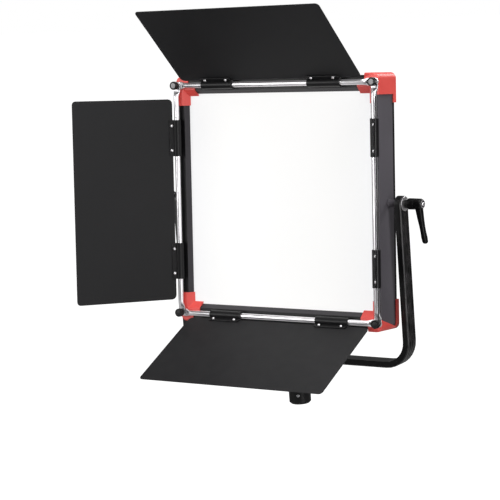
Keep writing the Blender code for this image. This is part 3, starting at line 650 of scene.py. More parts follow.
def softened(node: str, width: float, segments: int = 2, merge: bool = True) -> bmesh.types.BMesh:
    """Copy a mechanical node with its flat faces merged and its edges rounded.

    Args:
        node: The node to copy.
        width: Width of the rounding; 0 leaves the edges as they are.
        segments: Segments across each rounded edge.
        merge: Whether neighbouring flat faces become one.

    Returns:
        The new mesh, in the row frame.
    """
    bm = bmesh.new()
    bm.from_mesh(frame["nodes"][node].data)
    bmesh.ops.remove_doubles(bm, verts=bm.verts, dist=0.000002)
    if merge:
        bmesh.ops.dissolve_limit(bm, angle_limit=math.radians(1.0), verts=bm.verts, edges=bm.edges)
    bmesh.ops.recalc_face_normals(bm, faces=bm.faces)
    if width:
        sharp = [e for e in bm.edges if len(e.link_faces) == 2 and e.calc_face_angle(0) > math.radians(28)]
        bmesh.ops.bevel(bm, geom=sharp, offset=width, offset_type="OFFSET", segments=segments, profile=0.5,
                        affect="EDGES", clamp_overlap=True)
    return bm


def joint(name: str) -> dict:
    """A joint of the frame by its name."""
    return next(item for item in frame["joints"] if item["name"] == name)


def body_of_node(node: str) -> str:
    """The body that a mechanical node rides on."""
    return frame["nodes"][node]["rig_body"]


class Assembly:
    """Base of every sub-assembly: it dresses pieces and hands them to the frame."""

    def __init__(self, palette: Palette) -> None:
        """Keep the palette that the pieces take their finishes from."""
        self.palette = palette

    def settle(self, obj: bpy.types.Object, body: str, slot: str, *nodes: str) -> bpy.types.Object:
        """Make a piece ride on a body.

        Args:
            obj: The piece.
            body: The body's name.
            slot: The record's material slot; not used.
            nodes: Mechanical nodes that the piece stands for.

        Returns:
            The piece.
        """
        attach(obj, body)
        if nodes:
            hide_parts(*nodes)
        LOG.info("piece %s on %s", obj.name, body)
        return obj

    def stand_in(self, node: str, bm: bmesh.types.BMesh, place: Matrix, finish: str, slot: str,
                 *more: str) -> bpy.types.Object:
        """Make a finer piece that replaces one node.

        Args:
            node: The node that it stands for.
            bm: The finer mesh.
            place: From the mesh's axes to the row frame.
            finish: The main finish.
            slot: The record's material slot.
            more: Finishes of further material slots.

        Returns:
            The piece.
        """
        materials = [self.palette[name] for name in (finish, *more)]
        obj = mesh_object(node + "_finished", bm, place, *materials)
        return self.settle(obj, body_of_node(node), slot, node)

    def soften(self, node: str, width: float, finish: str, slot: str, *more: str) -> bpy.types.Object:
        """Replace a node by a copy with rounded edges, its flat faces shaded flat."""
        piece = self.stand_in(node, softened(node, width), Matrix.Identity(4), finish, slot, *more)
        weighting = piece.modifiers.new("face_weights", "WEIGHTED_NORMAL")
        weighting.weight = 100
        weighting.keep_sharp = True
        return piece

    def dress(self, node: str, finish: str) -> None:
        """Give a carried-over node a finish."""
        mesh = frame["nodes"][node].data
        mesh.materials.clear()
        mesh.materials.append(self.palette[finish])
        LOG.info("dressed %s", node)


# ---------------------------------------------------------------- the head's axes
@dataclass(frozen=True)
class PanelAxes:
    """Axes of the tilted panel: X to the right, Y to the rear, Z up its face."""

    matrix: Matrix
    rod_half: float
    rod_y: float = -0.0331

    @staticmethod
    def read() -> "PanelAxes":
        """Work the axes out from the four thumbscrews' joints."""
        joints = {corner: joint(f"thumbscrew_{corner.name.lower()}_turn") for corner in Corner}
        spots = {corner: Vector(item["pos_m"]) for corner, item in joints.items()}
        centre = sum(spots.values(), Vector()) / len(spots)
        right = (spots[Corner.TOP_RIGHT] - spots[Corner.TOP_LEFT]).normalized()
        rear = -Vector(joints[Corner.TOP_LEFT]["axis"]).normalized()
        matrix = axes(right, rear, right.cross(rear), centre - rear * PanelAxes.rod_y)
        return PanelAxes(matrix, (spots[Corner.TOP_RIGHT] - spots[Corner.TOP_LEFT]).length / 2)

    def at(self, x: float, y: float, z: float) -> Vector:
        """A point given in the panel's axes."""
        return self.matrix @ Vector((x, y, z))

    def way(self, x: float, y: float, z: float) -> Vector:
        """A direction given in the panel's axes."""
        return self.matrix.to_3x3() @ Vector((x, y, z))

    def rearward(self, x: float, y: float, z: float) -> Matrix:
        """Axes at a point of the back: Z points to the rear, X to the left seen from the front, Y up."""
        return axes(self.way(-1, 0, 0), self.way(0, 0, 1), self.way(0, 1, 0), self.at(x, y, z))


# ---------------------------------------------------------------- fasteners
@dataclass
class CrossScrew:
    """A pan-head screw with a cross recess, whose head sits on the local Z = 0 plane."""

    radius: float = 0.0022
    height: float = 0.0013
    slot_width: float = 0.0006
    slot_reach: float = 0.0013
    shank: float = 0.0010

    def build(self, name: str, material: bpy.types.Material) -> bpy.types.Object:
        """Make the first screw of a kind.

        Args:
            name: Name of the object.
            material: Its finish.

        Returns:
            The screw, at the origin.
        """
        r, h = self.radius, self.height
        dome = [(-self.shank, r * 0.5), (0.0, r * 0.5), (0.0, r * 0.97), (h * 0.35, r), (h * 0.75, r * 0.82),
                (h * 0.95, r * 0.5), (h, r * 0.12)]
        screw = mesh_object(name, turned(filleted(dome, 0.0001, 2), 32), Matrix.Identity(4), material)
        for turn in (0.0, math.pi / 2):
            arm = plate(rectangle(2 * self.slot_reach, self.slot_width, 0.0001), h * 0.4, h * 1.6, 0.00005)
            carve(screw, arm, Matrix.Rotation(turn, 4, "Z"))
        return screw


# ---------------------------------------------------------------- housing
class Housing(Assembly):
    """Frame rails, corner guards, opal sheet and rear cover."""

    def __init__(self, palette: Palette, panel: PanelAxes) -> None:
        """Keep the panel's axes."""
        super().__init__(palette)
        self.panel = panel

    def build(self) -> None:
        """Make every piece of the housing."""
        self.rails()
        self.guards()
        self.soften("diffuser", 0.0004, "opal_sheet", "diffuser_white")
        self.soften("rear_cover", 0.0004, "black_coat", "frame_black")
        self.cover_screws()
        self.bosses()

    def rails(self) -> None:
        """Rails with a black front, grey outer sides, and inward slopes in a dark, lighter copy of the black coat
        that paints the light they catch.
        """
        turn = self.panel.matrix.to_3x3().inverted()
        for side in Side:
            node = f"rail_{side.name.lower()}"
            rail = self.soften(node, 0.00035, "black_coat", "frame_black", "grey_coat", "slope_coat")
            out = Vector(side.value)
            for face in rail.data.polygons:
                normal = turn @ face.normal
                # Inward slopes take the lighter coat, which is painted light on the black rail.
                slope = normal.dot(out) < -0.3 and normal.y < -0.2
                outer = side in (Side.LEFT, Side.RIGHT) and normal.dot(out) > 0.6
                face.material_index = 2 if slope else int(outer)

    def guards(self) -> None:
        """Moulded corner guards with generously rounded edges."""
        for corner in Corner:
            self.soften(f"corner_guard_{corner.name.lower()}", 0.0007, "guard_red", "guard_red")

    def cover_screws(self) -> None:
        """Pan-head screws round the rear cover."""
        low, high = local_box("rear_cover", self.panel.matrix)
        inset = 0.0095
        spots = [(sx * (high.x - inset), z) for sx in (-1, 1) for z in (-0.095, 0.095)]
        spots += [(x, sz * (high.z - inset)) for sz in (-1, 1) for x in (-0.080, 0.080)]
        first = CrossScrew(0.0027, 0.0012).build("cover_screw_1", self.palette["steel"])
        for index, (x, z) in enumerate(spots, 1):
            place = self.panel.rearward(x, high.y, z)
            screw = first if index == 1 else copy_object(f"cover_screw_{index}", first, place)
            screw.matrix_world = place
            self.settle(screw, "head", "steel")

    def bosses(self) -> None:
        """Stepped bosses that carry the pivots."""
        for name, sign in (("left", -1), ("right", 1)):
            place = facing(Vector((sign, 0, 0)), Vector(joint("head_tilt")["pos_m"]))
            low, high = local_box(f"pivot_boss_{name}", place)
            profile = [(low.z, 0.0058), (low.z + 0.0020, 0.0058), (low.z + 0.0026, 0.0053), (high.z, 0.0053),
                       (high.z, 0.0043), (low.z + 0.0014, 0.0043), (low.z + 0.0014, 0.0020), (low.z, 0.0020)]
            boss = turned(filleted(profile, 0.0004, 3, closed=True), closed=True)
            self.stand_in(f"pivot_boss_{name}", boss, place, "grey_coat", "rail_grey")


# ---------------------------------------------------------------- barn doors
@dataclass(frozen=True)
class ClipShape:
    """Section and plan of a hinge clip."""

    radius: float = 0.0062
    bore: float = 0.0043
    flange: float = 0.0125
    thickness: float = 0.0015
    corner: float = 0.0030
    slit: float = math.radians(7)
    bead: float = 0.0005

    def section(self, high: float, reach: float, shrink: float) -> list[Vector]:
        """One section of the clip.

        Args:
            high: Outer face of the flange, from the rod's axis.
            reach: How far the flange goes from the axis.
            shrink: How much the outside is drawn in, for the softened ends.

        Returns:
            Points across the rod, in the leaf's Y and Z.
        """
        low = high - self.thickness + shrink
        top = high - shrink
        outer = self.radius - shrink
        start_in = math.asin(low / self.bore)
        start_out = math.asin(top / outer)
        end = start_in + 2 * math.pi - self.slit
        points = [(reach - 0.0002, top), (reach, top - 0.0003), (reach, low + 0.0003), (reach - 0.0002, low)]
        for radius, first, last, count in ((self.bore, start_in, end, 28), (outer, end, start_out, 36)):
            for i in range(count):
                angle = first + (last - first) * i / (count - 1)
                points.append((radius * math.cos(angle), radius * math.sin(angle)))
        return [Vector((0, y, z)) for y, z in points]

    def mesh(self, start: float, end: float, high: float) -> bmesh.types.BMesh:
        """The clip between two places along the rod, with rounded flange corners."""
        half = (end - start) / 2
        middle = (start + end) / 2
        stations = [(half, self.corner, self.bead * 0.6), (half - self.bead * 0.4, self.corner * 0.72, 0.0001)]
        for step in range(1, 6):
            angle = math.pi / 2 * step / 5
            stations.append((half - self.corner * (1 - math.cos(angle)) - self.bead * 0.4,
                             self.corner * 0.72 * (1 - math.sin(angle)), 0.0))
        places = [(-x, cut, shrink) for x, cut, shrink in stations]
        places += [(x, cut, shrink) for x, cut, shrink in reversed(stations)]
        rings = []
        for x, cut, shrink in places:
            offset = Vector((middle + x, 0, 0))
            rings.append([point + offset for point in self.section(high, self.flange - cut, shrink)])
        return loft(rings)


@dataclass(frozen=True)
class ThumbscrewShape:
    """Knurled thumbscrew, measured forwards from the rods' plane."""

    seat: float = -0.0009
    tip: float = -0.0065
    shank: float = 0.0019
    collar: float = 0.0046
    head: float = 0.0062
    head_start: float = 0.0014
    head_end: float = 0.0086
    dish: float = 0.0043

    def profile(self) -> Points:
        """Outline from the tip to the dished face."""
        edge = 0.0006
        return [(self.tip, self.shank), (self.seat, self.shank), (self.seat, self.collar),
                (self.head_start, self.collar), (self.head_start, self.head - edge),
                (self.head_start + edge, self.head), (self.head_end - edge, self.head),
                (self.head_end, self.head - edge), (self.head_end, self.dish + 0.0004),
                (self.head_end - 0.0006, self.dish), (self.head_end - 0.0006, 0.0002)]


class BarnDoors(Assembly):
    """Chromed rods, hinged leaves with their clips, and the corner thumbscrews."""

    SCREW_SPREAD = 0.0183
    SCREW_REACH = 0.0094

    def __init__(self, palette: Palette, panel: PanelAxes) -> None:
        """Keep the panel's axes."""
        super().__init__(palette)
        self.panel = panel

    def leaf_axes(self, side: Side) -> Matrix:
        """Axes of a leaf on its rod: X along the rod, Y away from it, Z to its outer face."""
        hinge = joint(f"leaf_{side.name.lower()}_hinge")
        opened = math.radians(90 - hinge["range_deg"][1])
        out = self.panel.way(*side.value)
        forward = self.panel.way(0, -1, 0)
        away = forward * math.cos(opened) + out * math.sin(opened)
        outer = out * math.cos(opened) - forward * math.sin(opened)
        return axes(away.cross(outer), away, outer, Vector(hinge["pos_m"]))

    def build(self) -> None:
        """Make the rods, leaves and screws."""
        for side in Side:
            node = f"rod_{side.name.lower()}"
            self.stand_in(node, softened(node, 0.0, merge=False), Matrix.Identity(4), "chrome", "chrome")
            self.leaf(side)
        self.thumbscrews()

    def leaf(self, side: Side) -> None:
        """One leaf with two clips, their screws and the nuts behind."""
        name = side.name.lower()
        place = self.leaf_axes(side)
        self.soften(f"leaf_{name}", 0.00035, "leaf_coat", "leaf_black")
        low, high = local_box(f"leaf_{name}", place)
        shape = ClipShape()
        flange_top = low.z - GAP
        body = f"barn_door_{name}"
        first = CrossScrew(0.0023, 0.0022).build(f"clip_screw_{name}_a1", self.palette["chrome"])
        nut = mesh_object(f"clip_rivet_{name}_a1", self.rivet(), Matrix.Identity(4), self.palette["black_coat"])
        for label in ("a", "b"):
            node = f"clip_{name}_{label}"
            clip_low, clip_high = local_box(node, place)
            self.stand_in(node, shape.mesh(clip_low.x, clip_high.x, flange_top), place, "black_coat", "leaf_black")
            middle = (clip_low.x + clip_high.x) / 2
            for number, sign in ((1, -1), (2, 1)):
                spot = Vector((middle + sign * self.SCREW_SPREAD, self.SCREW_REACH, flange_top - shape.thickness))
                inward = place @ facing(Vector((0, 0, -1)), spot, Vector((0, 1, 0)))
                outward = place @ facing(Vector((0, 0, 1)), Vector((spot.x, spot.y, high.z)), Vector((0, 1, 0)))
                own = label == "a" and number == 1
                tag = f"{name}_{label}{number}"
                screw = first if own else copy_object(f"clip_screw_{tag}", first, inward)
                screw.matrix_world = inward
                self.settle(screw, body, "steel")
                rivet = nut if own else copy_object(f"clip_rivet_{tag}", nut, outward)
                rivet.matrix_world = outward
                self.settle(rivet, body, "leaf_black")

    @staticmethod
    def rivet() -> bmesh.types.BMesh:
        """Low round head behind a leaf."""
        profile = [(-0.0004, 0.0021), (0.0003, 0.0021), (0.0006, 0.0016), (0.0007, 0.0004)]
        return turned(filleted(profile, 0.0002, 3), 32)

    def thumbscrews(self) -> None:
        """Knurled heads with a dished face, grey on the upper two and black on the lower two."""
        shape = ThumbscrewShape()
        for corner in Corner:
            tag = corner.name.lower()
            hinge = joint(f"thumbscrew_{tag}_turn")
            place = facing(Vector(hinge["axis"]), Vector(hinge["pos_m"]))
            body = f"screw_{tag}"
            knurled = turned(filleted(shape.profile(), 0.0003, 3), 144, 36, 0.055)
            self.stand_in(f"thumbscrew_{tag}", knurled, place, "black_plastic", "black_plastic")
            face = [(shape.head_end - 0.0005, 0.0040), (shape.head_end - 0.0003, 0.0038),
                    (shape.head_end - 0.0002, 0.0022), (shape.head_end - 0.00015, 0.0003)]
            finish = "knob_grey" if corner.value[1] > 0 else "black_plastic"
            cap = mesh_object(f"thumbscrew_cap_{tag}", turned(face, 48), place, self.palette[finish])
            self.settle(cap, body, "black_plastic")


# ---------------------------------------------------------------- yoke and socket
@dataclass(frozen=True)
class SocketShape:
    """Stand socket under the yoke."""

    radius: float = 0.01625
    bore: float = 0.0082
    depth: float = 0.0500
    rim: float = 0.0026
    groove_angles: tuple[float, float] = (-32.0, 148.0)
    screw_angle: float = -67.5
    screw_height: float = 0.0140


class YokeAssembly(Assembly):
    """Grooved yoke, the stand socket below it, its bolt and its locking knob."""

    def build(self) -> None:
        """Make every piece below the pivots."""
        self.soften("yoke", 0.0004, "yoke_coat", "frame_black")
        self.socket(SocketShape())
        self.bolt()
        self.knob()

    def socket(self, shape: SocketShape) -> None:
        """Socket with a chamfered lower rim, two slots and a set screw."""
        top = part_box("stand_socket")[1].z
        r, rim = shape.radius, shape.rim
        hole = 0.0053
        profile = [(0.0, shape.bore + 0.0006), (0.0, r - rim), (rim, r), (top - 0.0014, r), (top, r - 0.0014),
                   (top, hole), (shape.depth + 0.0002, hole), (shape.depth, shape.bore), (0.0006, shape.bore)]
        tube = turned(filleted(profile, 0.0005, 3, closed=True), 96, closed=True)
        socket = mesh_object("stand_socket_finished", tube, Matrix.Identity(4), self.palette["black_coat"])
        for angle in shape.groove_angles:
            turn = Matrix.Rotation(math.radians(angle), 4, "Z")
            notch = plate(rectangle(0.0060, 0.0028, 0.0004, (r + 0.0003, 0)), -0.002, 0.0046)
            carve(socket, notch, turn)
            groove = plate(rectangle(0.0024, 0.0018, 0.0003, (r + 0.0004, 0)), 0.0040, top + 0.002)
            carve(socket, groove, turn)
        carve(socket, turned([(0.0, 0.0042), (0.03, 0.0042)], 32), facing(Vector((0, 1, 0)), self.knob_place()))
        self.settle(socket, "base", "frame_black", "stand_socket")
        turn = math.radians(shape.screw_angle)
        out = Vector((math.cos(turn), math.sin(turn), 0))
        place = facing(out, out * (r - 0.0009) + Vector((0, 0, shape.screw_height)))
        screw = CrossScrew(0.0024, 0.0012).build("socket_set_screw", self.palette["steel"])
        screw.matrix_world = place
        self.settle(screw, "base", "steel")

    @staticmethod
    def knob_place() -> Vector:
        """Where the locking knob's axis meets the socket's own axis."""
        height = Vector(joint("socket_knob_turn")["pos_m"]).z
        return Vector((0, 0, height))

    def bolt(self) -> None:
        """Hexagon bolt with a washer, in the middle of the yoke's bar."""
        low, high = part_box("socket_bolt")
        base = high.z - 0.0058
        shank = [(low.z, 0.0044), (low.z + 0.0006, 0.0050), (base, 0.0050), (base, 0.0085), (base + 0.0011, 0.0085),
                 (base + 0.0011, 0.0060), (base + 0.0014, 0.0060)]
        body = mesh_object("socket_bolt_finished", turned(filleted(shank, 0.0002, 2)), Matrix.Identity(4),
                           self.palette["steel"])
        rings = []
        for z, radius in ((base + 0.0010, 0.0076), (high.z - 0.0010, 0.0076), (high.z - 0.0003, 0.0070),
                          (high.z, 0.0062)):
            rings.append([Vector((radius * math.cos(i * math.pi / 3), radius * math.sin(i * math.pi / 3), z))
                          for i in range(6)])
        head = mesh_object("socket_bolt_head", loft(rings), Matrix.Identity(4), self.palette["steel"])
        self.settle(body, "base", "steel", "socket_bolt")
        self.settle(head, "base", "steel")

    def knob(self) -> None:
        """Fluted locking knob behind the socket."""
        place = facing(Vector((0, 1, 0)), self.knob_place())
        low, high = local_box("socket_knob", place)
        neck = low.z + 0.0122
        profile = [(low.z, 0.0034), (low.z + 0.0006, 0.0040), (neck, 0.0040), (neck, 0.0070),
                   (neck + 0.0040, 0.0096), (neck + 0.0050, 0.0104), (high.z - 0.0030, 0.0105),
                   (high.z - 0.0010, 0.0094), (high.z, 0.0070), (high.z, 0.0003)]
        knob = turned(filleted(profile, 0.0008, 4), 96, 12, 0.12)
        self.stand_in("socket_knob", knob, place, "black_plastic", "black_plastic")


# ---------------------------------------------------------------- tilt clamps
@dataclass(frozen=True)
class LeverShape:
    """Clamping lever: how far below the axis each section is, its shift outwards and half sizes."""

    sections: tuple[tuple[float, float, float, float], ...] = (
        (-0.0035, 0.0056, 0.0050, 0.0052),
        (0.0000, 0.0057, 0.0053, 0.0054),
        (0.0060, 0.0060, 0.0053, 0.0052),
        (0.0120, 0.0066, 0.0050, 0.0049),
        (0.0220, 0.0078, 0.0044, 0.0045),
        (0.0320, 0.0093, 0.0038, 0.0041),
        (0.0400, 0.0105, 0.0037, 0.0041),
        (0.0470, 0.0116, 0.0040, 0.0046),
        (0.0530, 0.0125, 0.0037, 0.0043),
        (0.0552, 0.0128, 0.0029, 0.0034),
        (0.0560, 0.0129, 0.0016, 0.0019),
    )

    def mesh(self, start: float) -> bmesh.types.BMesh:
        """The arm as a lofted body with a squarish section."""
        rings = []
        for drop, shift, half_x, half_y in self.sections:
            ring = []
            for i in range(32):
                angle = 2 * math.pi * i / 32
                c, s = math.cos(angle), math.sin(angle)
                x = half_x * math.copysign(abs(c) ** 0.75, c)
                y = half_y * math.copysign(abs(s) ** 0.75, s)
                ring.append(Vector((start + shift + x, y, -drop)))
            rings.append(ring)
        return loft(rings)


class TiltClamps(Assembly):
    """Washers, hub, clamping lever and the plain knob on the pivot axis."""

    def build(self) -> None:
        """Make every piece on the pivot axis."""
        self.pivot = Vector(joint("head_tilt")["pos_m"])
        for name, sign in (("left", -1), ("right", 1)):
            self.washer(name, facing(Vector((sign, 0, 0)), self.pivot))
        self.hub()
        self.lever()
        self.left_knob()

    def washer(self, name: str, place: Matrix) -> None:
        """Polished washer with softened edges."""
        low, high = local_box(f"pivot_washer_{name}", place)
        profile = [(low.z, 0.0043), (low.z, 0.0103), (high.z, 0.0103), (high.z, 0.0043)]
        ring = turned(filleted(profile, 0.0003, 3, closed=True), closed=True)
        self.stand_in(f"pivot_washer_{name}", ring, place, "chrome", "chrome_washer")

    def hub(self) -> None:
        """Stepped hub between the washer and the lever."""
        place = facing(Vector((1, 0, 0)), self.pivot)
        low, high = local_box("tilt_hub", place)
        profile = [(low.z, 0.0043), (low.z, 0.0063), (low.z + 0.0050, 0.0063), (low.z + 0.0058, 0.0080),
                   (high.z, 0.0080), (high.z, 0.0043)]
        hub = turned(filleted(profile, 0.0004, 3, closed=True), closed=True)
        self.stand_in("tilt_hub", hub, place, "black_plastic", "black_plastic")

    def lever(self) -> None:
        """Clamping lever with a light cap ring and a screw in its end."""
        place = facing(Vector((1, 0, 0)), self.pivot)
        low, _ = local_box("tilt_lever", place)
        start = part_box("tilt_hub")[1].x + GAP
        profile = [(low.z, 0.0034), (low.z + 0.0006, 0.0040), (start, 0.0040), (start, 0.0079),
                   (start + 0.0098, 0.0077), (start + 0.0120, 0.0064), (start + 0.0124, 0.0046),
                   (start + 0.0116, 0.0042), (start + 0.0116, 0.0003)]
        head = turned(filleted(profile, 0.0006, 4))
        self.stand_in("tilt_lever", head, place, "black_plastic", "black_plastic")
        lift = Matrix.Translation(Vector((0, 0, self.pivot.z)))
        arm = mesh_object("tilt_lever_arm", LeverShape().mesh(start), lift, self.palette["black_plastic"])
        self.settle(arm, "lever", "black_plastic")
        ring = [(start + 0.0118, 0.0048), (start + 0.0118, 0.0058), (start + 0.0128, 0.0058),
                (start + 0.0128, 0.0048)]
        cap = turned(filleted(ring, 0.0002, 2, closed=True), closed=True)
        band = mesh_object("tilt_lever_ring", cap, place, self.palette["knob_grey"])
        self.settle(band, "lever", "black_plastic")
        screw = CrossScrew(0.0030, 0.0016).build("tilt_lever_screw", self.palette["chrome"])
        screw.matrix_world = place @ Matrix.Translation((0, 0, start + 0.0124))
        self.settle(screw, "lever", "steel")

    def left_knob(self) -> None:
        """Fluted knob on the left pivot."""
        place = facing(Vector((-1, 0, 0)), self.pivot)
        low, high = local_box("left_tilt_knob", place)
        start = high.z - 0.0160
        profile = [(low.z, 0.0034), (low.z + 0.0006, 0.0040), (start, 0.0040), (start, 0.0085),
                   (start + 0.0040, 0.0085), (start + 0.0050, 0.0128), (start + 0.0060, 0.0130),
                   (high.z - 0.0022, 0.0130), (high.z - 0.0004, 0.0114), (high.z, 0.0095), (high.z - 0.0006, 0.0080),
                   (high.z - 0.0006, 0.0003)]
        knob = turned(filleted(profile, 0.0006, 4), 120, 20, 0.09)
        self.stand_in("left_tilt_knob", knob, place, "black_plastic", "black_plastic")
        cap = turned([(high.z - 0.0007, 0.0076), (high.z - 0.0003, 0.0074), (high.z - 0.0002, 0.0003)], 48)
        face = mesh_object("left_tilt_knob_cap", cap, place, self.palette["knob_grey"])
        self.settle(face, "left_clamp", "black_plastic")


# ---------------------------------------------------------------- rear controls
class RearControls(Assembly):
    """Control box, battery plate and everything that is pressed, turned or plugged in."""

    def __init__(self, palette: Palette, panel: PanelAxes) -> None:
        """Keep the panel's axes."""
        super().__init__(palette)
        self.panel = panel

    def build(self) -> None:
        """Make every piece on the back."""
        self.soften("control_housing", 0.0004, "black_plastic", "black_plastic")
        self.box_screws()
        self.dials()
        self.buttons()
        self.rocker()
        self.display()
        self.connectors()
        self.battery_plate()

    def box_screws(self) -> None:
        """Small screws in the corners of the control box."""
        low, high = local_box("control_housing", self.panel.matrix)
        first = CrossScrew(0.0020, 0.0009, slot_reach=0.0011).build("box_screw_1", self.palette["steel"])
        spots = [(x, z) for x in (low.x + 0.006, high.x - 0.006) for z in (low.z + 0.006, high.z - 0.006)]
        for index, (x, z) in enumerate(spots, 1):
            place = self.panel.rearward(x, high.y, z)
            screw = first if index == 1 else copy_object(f"box_screw_{index}", first, place)
            screw.matrix_world = place
            self.settle(screw, "head", "steel")

    def dials(self) -> None:
        """Fluted dials with a white pointer, and scale marks round them."""
        face = local_box("control_housing", self.panel.matrix)[1].y
        for node, body, title in (("brightness_knob", "brightness_dial", "brightness_turn"),
                                  ("colour_knob", "colour_dial", "colour_turn")):
            hinge = joint(title)
            place = facing(Vector(hinge["axis"]), Vector(hinge["pos_m"]), self.panel.way(0, 0, 1))
            low, high = local_box(node, place)
            seat = high.z - 0.0122
            crown = high.z - 0.0001
            profile = [(low.z, 0.0030), (seat, 0.0030), (seat, 0.0110), (crown - 0.0023, 0.0101),
                       (crown - 0.0007, 0.0094), (crown, 0.0082), (crown, 0.0003)]
            dial = turned(filleted(profile, 0.0005, 4), 144, 36, 0.05)
            self.stand_in(node, dial, place, "black_plastic", "black_plastic")
            bar = plate(rectangle(0.0010, 0.0062, 0.0004, (0, 0.0048)), crown - 0.0004, high.z, 0.00004)
            mark = mesh_object(f"{node}_mark", bar, place, self.palette["mark_white"])
            self.settle(mark, body, "black_plastic")
            centre = self.panel.matrix.inverted() @ Vector(hinge["pos_m"])
            self.scale(node, centre.x, face, centre.z)

    def scale(self, node: str, x: float, y: float, z: float) -> None:
        """Ring of short printed strokes round a dial."""
        strokes = bmesh.new()
        for step in range(11):
            angle = math.radians(-135 + 27 * step)
            stroke = plate(rectangle(0.0005, 0.0018, 0.0002, (0, 0.0142)), -0.0001, 0.00015, 0.00003)
            bmesh.ops.rotate(stroke, verts=stroke.verts, matrix=Matrix.Rotation(angle, 3, "Z"))
            mesh = bpy.data.meshes.new("stroke")
            stroke.to_mesh(mesh)
            stroke.free()
            strokes.from_mesh(mesh)
            bpy.data.meshes.remove(mesh)
        marks = mesh_object(f"{node}_scale", strokes, self.panel.rearward(x, y, z), self.palette["mark_white"])
        self.settle(marks, "head", "black_plastic")

    def buttons(self) -> None:
        """Two push buttons with a dished face."""
        for node in ("menu_button", "mode_button"):
            low, high = local_box(node, self.panel.matrix)
            centre = (low + high) / 2
            place = self.panel.rearward(centre.x, 0.0, centre.z)
            shoulder = low.y + 0.0012
            profile = [(low.y, 0.0056), (shoulder, 0.0058), (shoulder, 0.0045), (high.y - 0.0004, 0.0045),
                       (high.y, 0.0040), (high.y, 0.0034), (high.y - 0.0003, 0.0020), (high.y - 0.0004, 0.0003)]
            self.stand_in(node, turned(filleted(profile, 0.0003, 3), 48), place, "knob_grey", "black_plastic")

    def rocker(self) -> None:
        """Rocker switch with a stroke and a ring moulded on its two ends."""
        switch = self.soften("power_switch", 0.0003, "black_plastic", "black_plastic")
        low, high = local_box("power_switch", self.panel.matrix)
        x, z = (low.x + high.x) / 2, (low.z + high.z) / 2
        lean = Matrix.Rotation(math.radians(-7), 4, "X")
        stroke = plate(rectangle(0.0008, 0.0036, 0.0003), -0.0003, 0.0002, 0.00005)
        upper = self.panel.rearward(x, high.y - 0.0003, z + 0.0052) @ lean
        self.settle(mesh_object("power_switch_stroke", stroke, upper, self.palette["mark_white"]), "rocker",
                    "black_plastic")
        loop = [(-0.0003, 0.0012), (-0.0003, 0.0019), (0.0002, 0.0019), (0.0002, 0.0012)]
        lower = self.panel.rearward(x, high.y - 0.0016, z - 0.0050)
        self.settle(mesh_object("power_switch_loop", turned(loop, 40, closed=True), lower,
                                self.palette["mark_white"]), "rocker", "black_plastic")
        LOG.info("rocker %s", switch.name)

    def display(self) -> None:
        """Dark window with a few lit level bars behind it."""
        self.soften("display_window", 0.0002, "window_dark", "window")
        low, high = local_box("display_window", self.panel.matrix)
        x, z = (low.x + high.x) / 2, (low.z + high.z) / 2
        place = self.panel.rearward(x, high.y, z)
        for index in range(8):
            tall = 0.0030 + 0.0016 * index
            shape = rectangle(0.0030, tall, 0.0004, (-0.0190 + 0.0054 * index, -0.0085 + tall / 2))
            bar = mesh_object(f"display_bar_{index + 1}", plate(shape, -0.0002, 0.0001, 0.00004), place,
                              self.palette["display_marks"])
            self.settle(bar, "head", "window")

    def connectors(self) -> None:
        """Power inlet with four pins, and two data sockets with their contacts."""
        low, high = local_box("power_inlet", self.panel.matrix)
        x, y = (low.x + high.x) / 2, (low.y + high.y) / 2
        down = axes(self.panel.way(1, 0, 0), self.panel.way(0, -1, 0), self.panel.way(0, 0, -1),
                    self.panel.at(x, y, low.z))
        tall = high.z - low.z
        profile = [(-tall, 0.0003), (-tall, 0.0079), (-0.0019, 0.0079), (-0.0019, 0.0098), (0.0, 0.0098),
                   (0.0, 0.0062), (-0.0038, 0.0062), (-0.0038, 0.0003)]
        self.stand_in("power_inlet", turned(filleted(profile, 0.0003, 3)), down, "black_plastic", "black_plastic")
        for index in range(4):
            angle = math.pi / 4 + index * math.pi / 2
            spot = Matrix.Translation((0.0032 * math.cos(angle), 0.0032 * math.sin(angle), -0.0038))
            pin = turned(filleted([(-0.0004, 0.0008), (0.0026, 0.0008), (0.0032, 0.0003)], 0.0002, 2), 24)
            obj = mesh_object(f"power_inlet_pin_{index + 1}", pin, down @ spot, self.palette["brass"])
            self.settle(obj, "head", "brass")
        for node in ("data_socket_in", "data_socket_out"):
            self.soften(node, 0.0002, "steel", "steel")
            self.contacts(node)

    def contacts(self, node: str) -> None:
        """Eight springy contacts on the rear wall of a data socket."""
        low, high = local_box(node, self.panel.matrix)
        middle = (low.x + high.x) / 2
        wires = bmesh.new()
        for index in range(8):
            x = middle + (index - 3.5) * 0.0011
            rings = []
            for z, lean in ((low.z + 0.0041, 0.0), (low.z + 0.0025, 0.0010), (low.z + 0.0010, 0.0013)):
                y = high.y - 0.0022 - lean
                rings.append([Vector((x + a, y + b, z)) for a, b in
                              ((-0.0002, -0.0002), (0.0002, -0.0002), (0.0002, 0.0002), (-0.0002, 0.0002))])
            wire = loft(rings)
            mesh = bpy.data.meshes.new("wire")
            wire.to_mesh(mesh)
            wire.free()
            wires.from_mesh(mesh)
            bpy.data.meshes.remove(mesh)
        obj = mesh_object(f"{node}_contacts", wires, self.panel.matrix, self.palette["brass"])
        self.settle(obj, "head", "brass")

